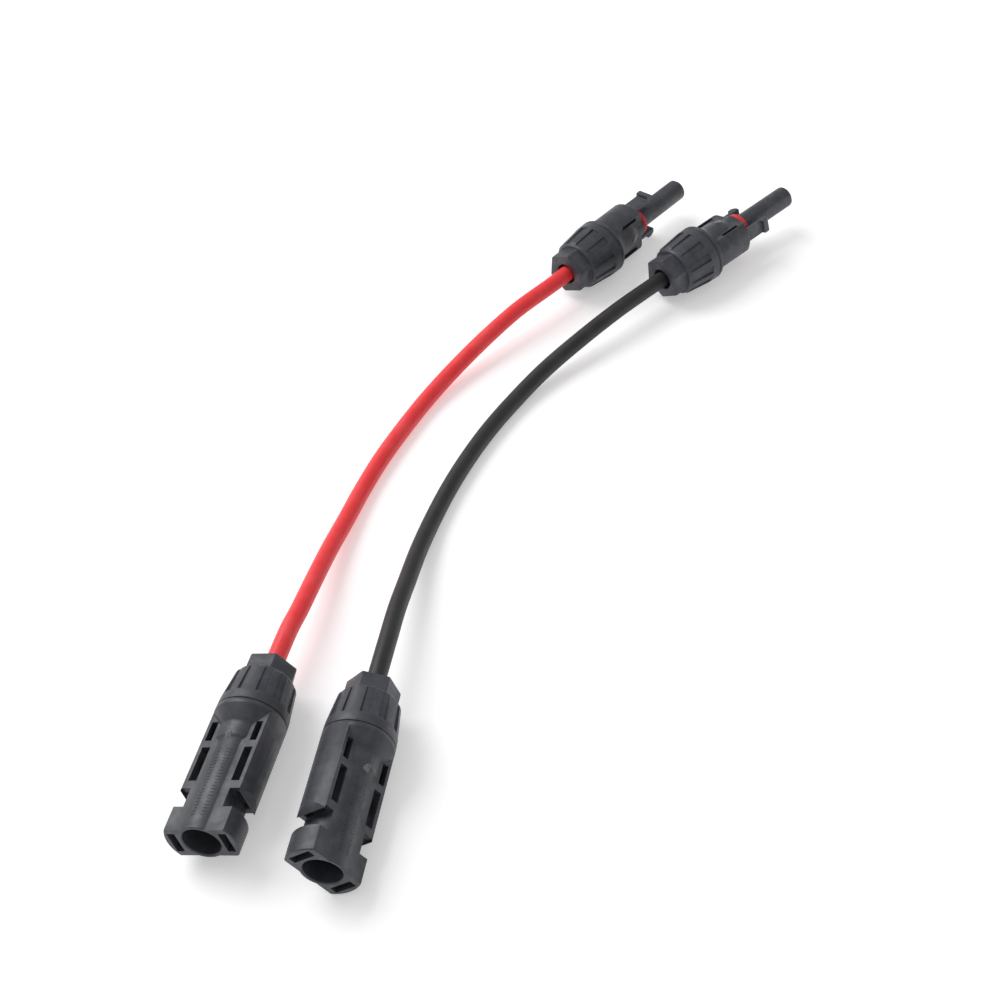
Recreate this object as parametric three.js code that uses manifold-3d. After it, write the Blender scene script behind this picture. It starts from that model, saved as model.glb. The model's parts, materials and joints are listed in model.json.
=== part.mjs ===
// A matched pair of solar extension leads, red and black. Each lead is a short single-core solar
// cable with a pin receptacle on one end and a socket plug on the other. Millimetres, +Z up, the
// leads lying on z = 0. Each coupler is drawn along its own +X, the direction it mates in, with
// x = 0 at the joint between the gland nut and the housing, and its latches on the +Y and -Y sides.
import * as THREE from 'three';
import * as BufferGeometryUtils from 'three/addons/utils/BufferGeometryUtils.js';
import Module from 'manifold-3d';

const wasm = await Module();
wasm.setup();

// ---- driving dimensions ----
const CLEARANCE = 0.3;        // between touching pieces
const ROUND_SIDES = 24;       // facets of a full-size round surface
const SMALL_SIDES = 14;       // facets of a small round surface

const BODY_R = 9.5;           // outside radius of nut rim and housings
const CABLE_R = 2.55;         // solar cable, 5.1 mm over the jacket
const JACKET_BORE_R = 1.75;
const CONDUCTOR_R = 1.35;     // tinned copper, 4 square millimetres

// gland nut, measured back from x = 0
const NUT_LENGTH = 17.7;
const HEX_LENGTH = 5.0;
const HEX_CORNER_R = 7.2;
const NUT_HOLE_R = 3.35;
const NUT_SHOULDER_R = 8.3;
const NUT_RING = 3.2;         // plain ring at the mouth
const FLUTES = 12;
const FLUTE_WIDTH = 2.5;
const FLUTE_DEPTH = 0.55;
const NUT_BORE_R = 7.9;
const NUT_CONE = { from: -14.4, radius: 4.1, to: -10.4 };   // closes on the clamp cage

// threaded boss of a housing, inside the nut
const BOSS_R = 7.5;
const BOSS_LENGTH = 7.6;
const SEAL_POCKET_R = 5.9;
const SEAL_POCKET_END = -2.6;
const CONTACT_BORE_R = 3.1;

// clamp cage and cable seal
const CAGE_FINGERS = 8;
const CAGE_RING_LENGTH = 1.8;
const CAGE_END = -14.0;
const CAGE_SHOULDER = -10.6;
const CAGE_R = 7.2;
const CAGE_TIP_R = 3.85;
const CAGE_WALL = 1.0;
const FINGER_GAP = 1.0;
const SEAL_R = 5.5;
const SEAL_END = -12.8;

// receptacle housing
const RECEPTACLE_FRONT = 37.6;
const PLATE_Z = 5.0;          // half height over the flat window plates
const BARREL_R = 5.9;
const MATING_BORE_R = 4.95;
const MATING_BORE_END = 11.4;
const DOME_START = 1.3;
const DOME_END = 5.6;
const DOME_FOOT_R = 6.9;
const GUSSET_END = 11.2;
const PAD = [[3.2, 4.5], [3.2, 7.0], [8.9, 6.9], [10.9, 5.9], [10.9, 4.5]];   // gate pad, x and z
const PAD_HALF = 3.5;
const SLOT_IN = 5.95;         // latch slot, inner and outer distance from the axis
const SLOT_OUT = 8.05;
const SLOT_HALF = 3.4;
const SLOT_END = 4.2;
const SHORT_WINDOW = { from: 4.3, to: 10.3, inner: 5.4, outer: 7.2 };
const LONG_WINDOW = { from: 12.4, to: 22.8, inner: 4.8, outer: 7.05 };
const NOTCH = { from: 25.1, to: 30.65, inner: 5.4, ramp: 1.5 };

// plug housing
const PLUG_SHOULDER = 16.0;
const WING_R = 8.3;
const WING_SPLIT_Z = 4.9;     // half height of the two wings
const PLUG_BARREL_R = 5.3;
const PLUG_DOME_END = 4.6;
const PLUG_DOME_FOOT_R = 6.3;
const PLUG_GUSSET_END = 10.4;
const PLUG_PAD = [[3.0, 4.0], [3.0, 6.7], [10.6, 6.2], [12.6, 5.2], [12.6, 4.0]];
const PLUG_PAD_HALF = 3.0;
const RING_SEAT_R = 3.9;      // O-ring seat at the foot of the nose
const RING_SEAT = { from: 17.2, to: 19.5 };
const RING_R = 4.9;
const NOSE_R = 3.55;
const NOSE_FLAT = 3.15;       // distance of the two flats from the axis
const NOSE_TIP = 42.0;
const NOSE_BORE_R = 2.75;
const WING_SLOT = { from: 6.4, to: 13.2, inner: 5.2, outer: 6.0 };

// latch arms of a plug
const ARM_PIVOT_X = 8.6;
const ARM_IN = 5.75;
const ARM_OUT = 7.05;
const ARM_HALF = 2.25;
const HOOK_FROM = 22.8;
const HOOK_TO = 25.8;
const HOOK_OUT = 8.15;

// contacts
const CRIMP_R = 2.55;
const CRIMP_FROM = -3.6;
const CRIMP_TO = 5.4;
const COLLAR_R = 2.75;
const PIN_R = 2.0;
const PIN_TIP = 30.4;
const SOCKET_R = 2.4;
const SOCKET_TIP = 40.2;
const CLIP_FROM = 7.0;
const CLIP_TO = 10.6;

// ---- geometry helpers ----
function solid(geometry) {
  const plain = geometry.clone();
  plain.deleteAttribute('normal');
  plain.deleteAttribute('uv');
  const merged = BufferGeometryUtils.mergeVertices(plain, 1e-5);
  return new wasm.Manifold(new wasm.Mesh({
    numProp: 3,
    vertProperties: Float32Array.from(merged.attributes.position.array),
    triVerts: Uint32Array.from(merged.index.array),
  }));
}

function geometryOf(manifold) {
  const mesh = manifold.getMesh();
  const geometry = new THREE.BufferGeometry();
  geometry.setAttribute('position', new THREE.BufferAttribute(mesh.vertProperties, 3));
  geometry.setIndex(new THREE.BufferAttribute(mesh.triVerts, 1));
  return geometry;
}

// profile: [x along the axis, radius] pairs, revolved about X
function turned(profile, sides = ROUND_SIDES) {
  const points = profile.map(([x, radius]) => new THREE.Vector2(radius, x));
  return new THREE.LatheGeometry(points, sides).rotateZ(-Math.PI / 2);
}

function rod(from, to, radius, sides = ROUND_SIDES) {
  return solid(turned([[from, 0], [from, radius], [to, radius], [to, 0]], sides));
}

function sleeve(from, to, inner, outer, sides = ROUND_SIDES) {
  return turned([[from, inner], [from, outer], [to, outer], [to, inner], [from, inner]], sides);
}

function block(x0, x1, y0, y1, z0, z1) {
  const box = new THREE.BoxGeometry(x1 - x0, y1 - y0, z1 - z0);
  return solid(box.translate((x0 + x1) / 2, (y0 + y1) / 2, (z0 + z1) / 2));
}

// outline: [x, y] pairs, extruded over z from -half to +half
function plate(outline, half) {
  const shape = new THREE.Shape(outline.map(([x, y]) => new THREE.Vector2(x, y)));
  const geometry = new THREE.ExtrudeGeometry(shape, { depth: 2 * half, bevelEnabled: false });
  return geometry.translate(0, 0, -half);
}

// a box between two distances from the axis, on one latch side
function sideBlock(side, x0, x1, inner, outer, half) {
  const edges = [side * inner, side * outer].sort((a, b) => a - b);
  return block(x0, x1, ...edges, -half, half);
}

// the moulding's gate pads, one on each of the +Z and -Z sides
function gatePads(outline, half) {
  return [1, -1].map((side) => solid(plate(outline, half).rotateX((side * Math.PI) / 2)));
}

// ---- materials ----
const black = () => new THREE.MeshStandardMaterial({ color: '#46484d', roughness: 0.6 });
const tinned = () => new THREE.MeshStandardMaterial({ color: '#c9cbcc', roughness: 0.3, metalness: 1 });
const steel = () => new THREE.MeshStandardMaterial({ color: '#b4b7ba', roughness: 0.35, metalness: 1 });
const rubber = () => new THREE.MeshStandardMaterial({ color: '#2b2c2e', roughness: 0.8 });
const redRubber = () => new THREE.MeshStandardMaterial({ color: '#c8323a', roughness: 0.7 });
const cage = () => new THREE.MeshStandardMaterial({ color: '#d8d6cf', roughness: 0.5 });
const copper = () => new THREE.MeshStandardMaterial({ color: '#c58e5c', roughness: 0.35, metalness: 1 });

// ---- gland nut: a hexagon for the spanner, a fluted cone for the hand ----
function nutGeometry() {
  const shoulder = HEX_LENGTH - NUT_LENGTH;
  const mouth = -CLEARANCE / 2;
  const body = solid(turned([
    [shoulder, 0], [shoulder, NUT_SHOULDER_R - 0.9], [shoulder + 1.1, NUT_SHOULDER_R],
    [-NUT_RING, BODY_R - 0.15], [mouth, BODY_R], [mouth, 0],
  ]));
  const hexagon = rod(-NUT_LENGTH, shoulder + 1, HEX_CORNER_R, 6);
  const bore = solid(turned([
    [-NUT_LENGTH - 1, 0], [-NUT_LENGTH - 1, NUT_HOLE_R], [NUT_CONE.from, NUT_HOLE_R],
    [NUT_CONE.from, NUT_CONE.radius], [NUT_CONE.to, NUT_BORE_R], [1, NUT_BORE_R], [1, 0],
  ], 16));
  let nut = body.add(hexagon).subtract(bore);
  const depthAt = (x) => BODY_R - FLUTE_DEPTH + (x + NUT_RING) * 0.1;
  for (let i = 0; i < FLUTES; i++) {
    const outline = [
      [shoulder - 1, depthAt(shoulder - 1)], [-NUT_RING, depthAt(-NUT_RING)],
      [-NUT_RING, BODY_R + 1], [shoulder - 1, BODY_R + 1],
    ];
    const flute = plate(outline, FLUTE_WIDTH / 2).rotateX((i / FLUTES) * 2 * Math.PI);
    nut = nut.subtract(solid(flute));
  }
  return geometryOf(nut);
}

// ---- clamp cage: a slotted basket that the nut squeezes onto the cable ----
function cageGeometry() {
  const front = -BOSS_LENGTH - CLEARANCE;
  const wall = solid(turned([
    [CAGE_END, CAGE_TIP_R - CAGE_WALL + 0.1], [CAGE_END, CAGE_TIP_R], [CAGE_SHOULDER, CAGE_R],
    [front, CAGE_R], [front, SEAL_R + 2 * CLEARANCE], [CAGE_SHOULDER + 0.4, SEAL_R + 2 * CLEARANCE],
    [CAGE_END, CAGE_TIP_R - CAGE_WALL + 0.1],
  ], 16));
  let basket = wall;
  for (let i = 0; i < CAGE_FINGERS / 2; i++) {
    const slot = new THREE.BoxGeometry(front - CAGE_RING_LENGTH - CAGE_END + 1, FINGER_GAP, 3 * CAGE_R);
    slot.translate((front - CAGE_RING_LENGTH + CAGE_END - 1) / 2, 0, 0);
    basket = basket.subtract(solid(slot.rotateX(((i + 0.5) / CAGE_FINGERS) * 2 * Math.PI)));
  }
  return geometryOf(basket);
}

// ---- cable seal: a rubber sleeve between cage, boss and cable ----
function sealGeometry() {
  const bore = CABLE_R + CLEARANCE;
  return turned([
    [SEAL_END, bore], [SEAL_END, bore + 0.5], [CAGE_SHOULDER + 0.3, SEAL_R - 0.2],
    [SEAL_POCKET_END - CLEARANCE, SEAL_R], [SEAL_POCKET_END - CLEARANCE, bore], [SEAL_END, bore],
  ], SMALL_SIDES);
}

// bore of a housing from its boss to the mating bore, with the pocket for the cable seal
function contactBore(end) {
  return solid(turned([
    [-BOSS_LENGTH - 1, 0], [-BOSS_LENGTH - 1, SEAL_POCKET_R], [SEAL_POCKET_END, SEAL_POCKET_R],
    [SEAL_POCKET_END, CONTACT_BORE_R], [end, CONTACT_BORE_R], [end, 0],
  ], SMALL_SIDES));
}

// ---- receptacle housing: holds the pin, and the notches that the plug's latches catch in ----
function receptacleGeometry() {
  const body = rod(0, RECEPTACLE_FRONT, BODY_R);
  const slab = body.intersect(block(-1, RECEPTACLE_FRONT + 1, -BODY_R - 1, BODY_R + 1, -PLATE_Z, PLATE_Z));
  const core = solid(turned([
    [-BOSS_LENGTH, 0], [-BOSS_LENGTH, BOSS_R], [0, BOSS_R], [0, BODY_R], [DOME_START, BODY_R],
    [DOME_END, DOME_FOOT_R], [GUSSET_END, BARREL_R], [GUSSET_END, 0],
  ]));
  let housing = core.add(slab);
  for (const side of [1, -1]) {
    const { from, to, inner, ramp } = NOTCH;
    housing = housing.subtract(sideBlock(side, from, to, inner, BODY_R + 1, BODY_R));
    const wedge = [
      [from - 1, side * (SLOT_OUT + 0.05)], [from + ramp, side * (SLOT_OUT + 0.05)],
      [from + 0.2, side * (BODY_R - 0.1)], [from - 1, side * (BODY_R - 0.1)],
    ];
    housing = housing.add(solid(plate(side > 0 ? wedge : wedge.reverse(), PLATE_Z)).intersect(body));
    housing = housing.subtract(
      sideBlock(side, SLOT_END, RECEPTACLE_FRONT + 1, SLOT_IN, SLOT_OUT, SLOT_HALF));
    for (const w of [SHORT_WINDOW, LONG_WINDOW]) {
      housing = housing.subtract(sideBlock(side, w.from, w.to, w.inner, w.outer, BODY_R));
    }
  }
  housing = housing.add(rod(DOME_START, RECEPTACLE_FRONT, BARREL_R));
  for (const pad of gatePads(PAD, PAD_HALF)) housing = housing.add(pad);
  const matingBore = rod(MATING_BORE_END, RECEPTACLE_FRONT + 1, MATING_BORE_R, 20);
  return geometryOf(housing.subtract(matingBore).subtract(contactBore(MATING_BORE_END + 1)));
}

// ---- plug housing: two wings that guard the latches, and the long nose with two flats ----
function plugGeometry() {
  const flange = 1.2;
  const wingBody = rod(0, PLUG_SHOULDER, WING_R);
  const wings = wingBody.intersect(
    block(-1, PLUG_SHOULDER + 1, -BODY_R, BODY_R, -WING_SPLIT_Z, WING_SPLIT_Z));
  const core = solid(turned([
    [-BOSS_LENGTH, 0], [-BOSS_LENGTH, BOSS_R], [0, BOSS_R], [0, BODY_R], [flange, BODY_R],
    [flange + 1.4, WING_R], [PLUG_DOME_END, PLUG_DOME_FOOT_R + 1], [PLUG_DOME_END + 1, PLUG_DOME_FOOT_R],
    [PLUG_GUSSET_END, PLUG_BARREL_R], [RING_SEAT.from, PLUG_BARREL_R], [RING_SEAT.from, 0],
  ]));
  let housing = core.add(wings);
  for (const pad of gatePads(PLUG_PAD, PLUG_PAD_HALF)) housing = housing.add(pad);
  for (const side of [1, -1]) {
    const gap = CLEARANCE;
    housing = housing.subtract(sideBlock(
      side, ARM_PIVOT_X - gap, PLUG_SHOULDER + 4, ARM_IN - 1.1, ARM_OUT + gap, ARM_HALF + gap));
    const { from, to, inner, outer } = WING_SLOT;
    for (const top of [1, -1]) {
      const heights = [top * 2.5, top * BODY_R].sort((a, b) => a - b);
      const edges = [side * inner, side * outer].sort((a, b) => a - b);
      housing = housing.subtract(block(from, to, ...edges, ...heights));
    }
  }
  const nose = solid(turned([
    [RING_SEAT.from - 1, 0], [RING_SEAT.from - 1, RING_SEAT_R], [RING_SEAT.to, RING_SEAT_R],
    [RING_SEAT.to, NOSE_R + 0.35], [RING_SEAT.to + 1.6, NOSE_R], [NOSE_TIP - 0.5, NOSE_R],
    [NOSE_TIP, NOSE_R - 0.5], [NOSE_TIP, 0],
  ], 20));
  let flats = nose;
  for (const side of [1, -1]) {
    flats = flats.subtract(sideBlock(side, RING_SEAT.to, NOSE_TIP + 1, NOSE_FLAT, BODY_R, BODY_R));
  }
  housing = housing.add(flats);
  const noseBore = rod(CRIMP_TO + 1, NOSE_TIP + 1, NOSE_BORE_R, SMALL_SIDES);
  return geometryOf(housing.subtract(noseBore).subtract(contactBore(CLIP_TO + 1)));
}

// ---- latch arm: a spring leaf with a wedge hook, made on one side of a plug ----
function armGeometry(side) {
  const outline = [
    [ARM_PIVOT_X, ARM_IN], [HOOK_TO, ARM_IN], [HOOK_TO, ARM_OUT + 0.15], [HOOK_TO - 1.1, HOOK_OUT],
    [HOOK_FROM, HOOK_OUT], [HOOK_FROM, ARM_OUT], [ARM_PIVOT_X, ARM_OUT],
  ].map(([x, y]) => [x, side * y]);
  return plate(side > 0 ? outline : outline.reverse(), ARM_HALF);
}

// ---- contacts: a crimp barrel with a pin or a socket in front ----
function crimpProfile() {
  return [
    [CRIMP_FROM + 6.2, 0], [CRIMP_FROM + 6.2, CONDUCTOR_R + CLEARANCE],
    [CRIMP_FROM, CONDUCTOR_R + CLEARANCE], [CRIMP_FROM, CRIMP_R - 0.3], [CRIMP_TO, CRIMP_R - 0.3],
    [CRIMP_TO, COLLAR_R], [CLIP_FROM - CLEARANCE, COLLAR_R], [CLIP_FROM - CLEARANCE, PIN_R],
    [CLIP_TO + CLEARANCE, PIN_R],
  ];
}

function pinGeometry() {
  return turned([
    ...crimpProfile(), [CLIP_TO + CLEARANCE, COLLAR_R], [CLIP_TO + 1.6, COLLAR_R], [CLIP_TO + 2.4, PIN_R],
    [PIN_TIP - 2.2, PIN_R], [PIN_TIP - 0.5, 1.2], [PIN_TIP, 0.6], [PIN_TIP, 0],
  ], SMALL_SIDES);
}

function socketGeometry() {
  const bore = PIN_R + 0.02;
  const floor = 21.0;
  const tube = solid(turned([
    ...crimpProfile(), [CLIP_TO + CLEARANCE, SOCKET_R], [SOCKET_TIP, SOCKET_R], [SOCKET_TIP, bore],
    [floor, bore], [floor, 0],
  ], SMALL_SIDES));
  const slot = block(SOCKET_TIP - 9, SOCKET_TIP + 1, -BODY_R, BODY_R, -0.35, 0.35);
  return geometryOf(tube.subtract(slot));
}

// spring sleeve inside the socket, seated behind its slots
function contactSpringGeometry() {
  return sleeve(22.0, 29.0, 1.35, 1.72, 12);
}

// retaining clip: a split ring with tangs, snapped round the contact's neck
function clipGeometry() {
  const ring = solid(turned([
    [CLIP_FROM, PIN_R + CLEARANCE], [CLIP_FROM, PIN_R + 0.62], [CLIP_TO, PIN_R + 0.62],
    [CLIP_TO, PIN_R + CLEARANCE], [CLIP_FROM, PIN_R + CLEARANCE],
  ], SMALL_SIDES));
  return geometryOf(ring.subtract(block(CLIP_FROM - 1, CLIP_TO + 1, -0.8, 0.8, 0, BODY_R)));
}

// sealing ring: as wide as its seat, with rounded shoulders
function ringGeometry() {
  const from = RING_SEAT.from + 0.15;
  const to = RING_SEAT.to - 0.15;
  const inner = RING_SEAT_R + 0.08;
  return turned([
    [from, inner], [from, RING_R - 0.4], [from + 0.35, RING_R], [to - 0.35, RING_R],
    [to, RING_R - 0.4], [to, inner], [from, inner],
  ], 20);
}

// ---- one coupler: a turned group holding its pieces ----
function piece(name, geometry, material) {
  const mesh = new THREE.Mesh(geometry, material);
  mesh.name = name;
  return mesh;
}

function gland(prefix, nutTurn) {
  const turn = THREE.MathUtils.degToRad(nutTurn);
  return [
    piece(`${prefix}_gland_nut`, nutGeometry().rotateX(turn), black()),
    piece(`${prefix}_clamp_cage`, cageGeometry(), cage()),
    piece(`${prefix}_cable_seal`, sealGeometry(), rubber()),
  ];
}

function receptacle(prefix, nutTurn) {
  return [
    piece(`${prefix}_receptacle_housing`, receptacleGeometry(), black()),
    piece(`${prefix}_pin_contact`, pinGeometry(), tinned()),
    piece(`${prefix}_pin_clip`, clipGeometry(), steel()),
    ...gland(`${prefix}_receptacle`, nutTurn),
  ];
}

function plug(prefix, nutTurn) {
  return [
    piece(`${prefix}_plug_housing`, plugGeometry(), black()),
    piece(`${prefix}_latch_arm_left`, armGeometry(1), black()),
    piece(`${prefix}_latch_arm_right`, armGeometry(-1), black()),
    piece(`${prefix}_sealing_ring`, ringGeometry(), redRubber()),
    piece(`${prefix}_socket_contact`, socketGeometry(), tinned()),
    piece(`${prefix}_contact_spring`, contactSpringGeometry(), steel()),
    piece(`${prefix}_socket_clip`, clipGeometry(), steel()),
    ...gland(`${prefix}_plug`, nutTurn),
  ];
}

// place: x, y, height of the axis at x = 0 of the coupler, and its angles in degrees
function placed(pieces, place) {
  const coupler = new THREE.Group();
  coupler.position.set(place.x, place.y, place.height);
  const degrees = THREE.MathUtils.degToRad;
  coupler.rotation.set(degrees(place.roll), degrees(place.noseDown), degrees(place.heading), 'ZYX');
  coupler.add(...pieces);
  coupler.updateMatrixWorld(true);
  return coupler;
}

// ---- cable: the jacket as a tube round its conductor, from crimp barrel to crimp barrel ----
const JACKET_START = -5.0;     // jacket and conductor ends, in each coupler's own x
const CONDUCTOR_START = 1.8;
const CABLE_STRAIGHT = -24;    // the cable leaves the gland straight as far as this

function circle(radius, sides) {
  const points = [];
  for (let i = 0; i < sides; i++) {
    const angle = (i / sides) * 2 * Math.PI;
    points.push(new THREE.Vector2(radius * Math.cos(angle), radius * Math.sin(angle)));
  }
  return points;
}

function cable(prefix, colour, receptacleEnd, plugEnd, lay) {
  const along = (coupler, x) => coupler.localToWorld(new THREE.Vector3(x, 0, 0));
  const route = (start) => [
    along(receptacleEnd, start), along(receptacleEnd, (start + CABLE_STRAIGHT) / 2),
    along(receptacleEnd, CABLE_STRAIGHT), ...lay.map(([x, y, z]) => new THREE.Vector3(x, y, z)),
    along(plugEnd, CABLE_STRAIGHT), along(plugEnd, (start + CABLE_STRAIGHT) / 2),
    along(plugEnd, start),
  ];
  const sweep = (shape, start) => new THREE.ExtrudeGeometry(shape, {
    steps: 26, bevelEnabled: false,
    extrudePath: new THREE.CatmullRomCurve3(route(start), false, 'centripetal'),
  });
  const jacketShape = new THREE.Shape(circle(CABLE_R, 10));
  jacketShape.holes.push(new THREE.Path(circle(JACKET_BORE_R, 6)));
  const jacketMaterial = new THREE.MeshStandardMaterial({ color: colour, roughness: 0.45 });
  return [
    piece(`${prefix}_cable_jacket`, sweep(jacketShape, JACKET_START), jacketMaterial),
    piece(`${prefix}_cable_conductor`, sweep(new THREE.Shape(circle(CONDUCTOR_R, 6)), CONDUCTOR_START),
      copper()),
  ];
}

// ---- the two leads ----
const group = new THREE.Group();

function lead(prefix, colour, receptaclePlace, plugPlace, lay) {
  const receptacleEnd = placed(receptacle(prefix, receptaclePlace.nutTurn), receptaclePlace);
  const plugEnd = placed(plug(prefix, plugPlace.nutTurn), plugPlace);
  group.add(receptacleEnd, plugEnd, ...cable(prefix, colour, receptacleEnd, plugEnd, lay));
}

lead('red', '#d8303a',
  { x: -76.6, y: -86.4, height: 9.5, heading: -105.3, roll: 14.3, noseDown: -0.8, nutTurn: 28 },
  { x: 29.3, y: 102.2, height: 9.5, heading: 46.1, roll: 87, noseDown: 0, nutTurn: 38 },
  [[-68.0, -55.5, 9.0], [-65.7, -48.5, 8.3], [-62.2, -36.4, 6.9], [-58.5, -23.5, 5.0],
    [-54.1, -10.4, 3.4], [-49.5, 2.4, 2.6], [-44.1, 14.7, 2.6], [-37.5, 27.3, 2.6],
    [-30.0, 40.0, 2.8], [-21.2, 51.6, 4.2], [-11.2, 62.7, 6.3], [0.1, 73.9, 8.4]]);
lead('black', '#2a2b2e',
  { x: -49.1, y: -96.3, height: 10.1, heading: -102.7, roll: -52, noseDown: 1, nutTurn: 10 },
  { x: 61.3, y: 95.1, height: 9.5, heading: 39.6, roll: 166, noseDown: -2, nutTurn: 12 },
  [[-41.7, -62.8, 9.9], [-39.4, -51.1, 8.5], [-36.5, -38.5, 6.4], [-33.3, -25.3, 4.3],
    [-29.3, -12.4, 2.8], [-24.4, -0.2, 2.6], [-18.5, 12.0, 2.6], [-11.4, 24.5, 2.6],
    [-2.8, 37.0, 2.8], [7.2, 48.6, 4.2], [18.9, 59.4, 6.2], [32.1, 70.7, 8.1]]);

export default group;
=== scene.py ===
import json
import math

import bmesh
import bpy
from mathutils import Matrix, Vector


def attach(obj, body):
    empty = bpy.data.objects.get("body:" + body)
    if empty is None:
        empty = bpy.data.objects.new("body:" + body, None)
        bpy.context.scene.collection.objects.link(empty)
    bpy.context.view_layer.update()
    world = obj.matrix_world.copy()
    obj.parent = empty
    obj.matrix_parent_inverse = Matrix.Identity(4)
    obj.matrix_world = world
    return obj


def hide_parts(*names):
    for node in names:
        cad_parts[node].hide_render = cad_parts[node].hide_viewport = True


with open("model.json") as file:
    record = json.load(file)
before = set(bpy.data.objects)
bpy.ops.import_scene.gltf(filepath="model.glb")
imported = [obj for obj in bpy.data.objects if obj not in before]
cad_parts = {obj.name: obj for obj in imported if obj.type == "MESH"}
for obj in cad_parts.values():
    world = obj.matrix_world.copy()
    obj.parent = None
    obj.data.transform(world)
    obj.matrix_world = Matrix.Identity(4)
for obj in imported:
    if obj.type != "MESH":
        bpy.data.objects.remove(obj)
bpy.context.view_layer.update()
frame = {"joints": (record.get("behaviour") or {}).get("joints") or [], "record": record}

# ---- Camera -----------------------------------------------------------------------------------
# It stands in front of the receptacles and looks down on the leads at 44 degrees through a
# longish lens, turned a little about its own line of sight.
CAMERA_PLACE = Vector((-0.0096, -0.36666, 0.35673))
CAMERA_AIM = Vector((-0.0096, -0.0033, 0.0))
CAMERA_TURN = math.radians(-4.095)
camera = bpy.data.objects.new("camera", bpy.data.cameras.new("camera"))
bpy.context.scene.collection.objects.link(camera)
camera.data.sensor_width = 36.0
camera.data.lens = 62.95
camera.data.clip_start, camera.data.clip_end = 0.01, 20.0
camera_back = (CAMERA_PLACE - CAMERA_AIM).normalized()
level = Vector((1, 0, 0))
upright = camera_back.cross(level)
camera_right = math.cos(CAMERA_TURN) * level + math.sin(CAMERA_TURN) * upright
camera_up = camera_back.cross(camera_right)
camera.matrix_world = (Matrix.Translation(CAMERA_PLACE)
                       @ Matrix((camera_right, camera_up, camera_back)).transposed().to_4x4())
bpy.context.scene.camera = camera

# ---- Couplers' places -------------------------------------------------------------------------
# Each lead has a pin receptacle on one end and a socket plug on the other. A coupler is drawn in
# millimetres along its own X, the way it mates, with 0 at the joint between nut and housing.
LEADS = ("red", "black")
ENDS = ("receptacle", "plug")
joints = {joint["name"]: joint for joint in frame["joints"]}
mounts = {mount["name"]: mount for mount in frame["record"]["mounts"]}


def coupler_place(lead, end):
    """The matrix from a coupler's own millimetres to the row frame's metres."""
    turn = joints[f"{lead}_{end}_nut_turn"]
    ahead = -Vector(turn["axis"]).normalized()
    if end == "receptacle":
        above = Vector(mounts[f"{lead}_receptacle_flat"]["axis"])
    else:
        above = -Vector(joints[f"{lead}_latch_left_flex"]["axis"])
    aside = above.cross(ahead).normalized()
    above = ahead.cross(aside)
    turned = Matrix((ahead, aside, above)).transposed().to_4x4()
    return Matrix.Translation(Vector(turn["pos_m"])) @ turned @ Matrix.Scale(0.001, 4)


places = {(lead, end): coupler_place(lead, end) for lead in LEADS for end in ENDS}

# ---- Cable jackets ----------------------------------------------------------------------------
# Single-core solar cable, 5.1 mm over an extruded cross-linked polyolefin jacket, stiff enough to
# keep the curve it was unrolled with. It leaves each gland straight, then lies on the surface.
JACKET_DIAMETER = 0.0051
JACKET_START = -5.0            # mm, where the jacket ends inside each coupler
JACKET_STRAIGHT = -24.0        # mm, straight as far as this
JACKET_SIDES, JACKET_STEPS = 32, 14
NUT_BACK = -17.7               # mm, where the jacket comes out of the gland nut
JACKET_LAYS = {
    "red": [(-0.0680, -0.0555, 0.0090), (-0.0657, -0.0485, 0.0083), (-0.0622, -0.0364, 0.0069),
            (-0.0585, -0.0235, 0.0050), (-0.0541, -0.0104, 0.0034), (-0.0495, 0.0024, 0.0026),
            (-0.0441, 0.0147, 0.0026), (-0.0375, 0.0273, 0.0026), (-0.0300, 0.0400, 0.0028),
            (-0.0212, 0.0516, 0.0042), (-0.0112, 0.0627, 0.0063), (0.0001, 0.0739, 0.0084)],
    "black": [(-0.0417, -0.0628, 0.0099), (-0.0394, -0.0511, 0.0085), (-0.0365, -0.0385, 0.0064),
              (-0.0333, -0.0253, 0.0043), (-0.0293, -0.0124, 0.0028), (-0.0244, -0.0002, 0.0026),
              (-0.0185, 0.0120, 0.0026), (-0.0114, 0.0245, 0.0026), (-0.0028, 0.0370, 0.0028),
              (0.0072, 0.0486, 0.0042), (0.0189, 0.0594, 0.0062), (0.0321, 0.0707, 0.0081)],
}
JACKET_LENGTHS = {"red": 0.212, "black": 0.220}    # jacket end to jacket end


def smooth_route(points, steps):
    """Points along one smooth curve through the given ones, without overshoot."""
    held = [2 * points[0] - points[1], *points, 2 * points[-1] - points[-2]]
    route = []
    for a, b, c, d in zip(held, held[1:], held[2:], held[3:]):
        before, here, after = ((q - p).length ** 0.5 for p, q in ((a, b), (b, c), (c, d)))
        leaving = ((b - a) / before - (c - a) / (before + here) + (c - b) / here) * here
        arriving = ((c - b) / here - (d - b) / (here + after) + (d - c) / after) * here
        for i in range(steps):
            t = i / steps
            route.append((2 * t ** 3 - 3 * t ** 2 + 1) * b + (t ** 3 - 2 * t ** 2 + t) * leaving
                         + (3 * t ** 2 - 2 * t ** 3) * c + (t ** 3 - t ** 2) * arriving)
    return [*route, points[-1]]


def linear(colour):
    """An sRGB hex colour as linear red, green, blue and alpha."""
    parts = [int(colour[i:i + 2], 16) / 255 for i in (1, 3, 5)]
    return [p / 12.92 if p <= 0.04045 else ((p + 0.055) / 1.055) ** 2.4 for p in parts] + [1.0]


def add(tree, kind, wires=None, **settings):
    """Adds a node with its settings, and with a value or another node's output on each socket."""
    made = tree.nodes.new(kind)
    for name, value in settings.items():
        setattr(made, name, value)
    for socket, value in (wires or {}).items():
        if isinstance(value, bpy.types.NodeSocket):
            tree.links.new(value, made.inputs[socket])
        else:
            made.inputs[socket].default_value = value
    return made


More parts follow.
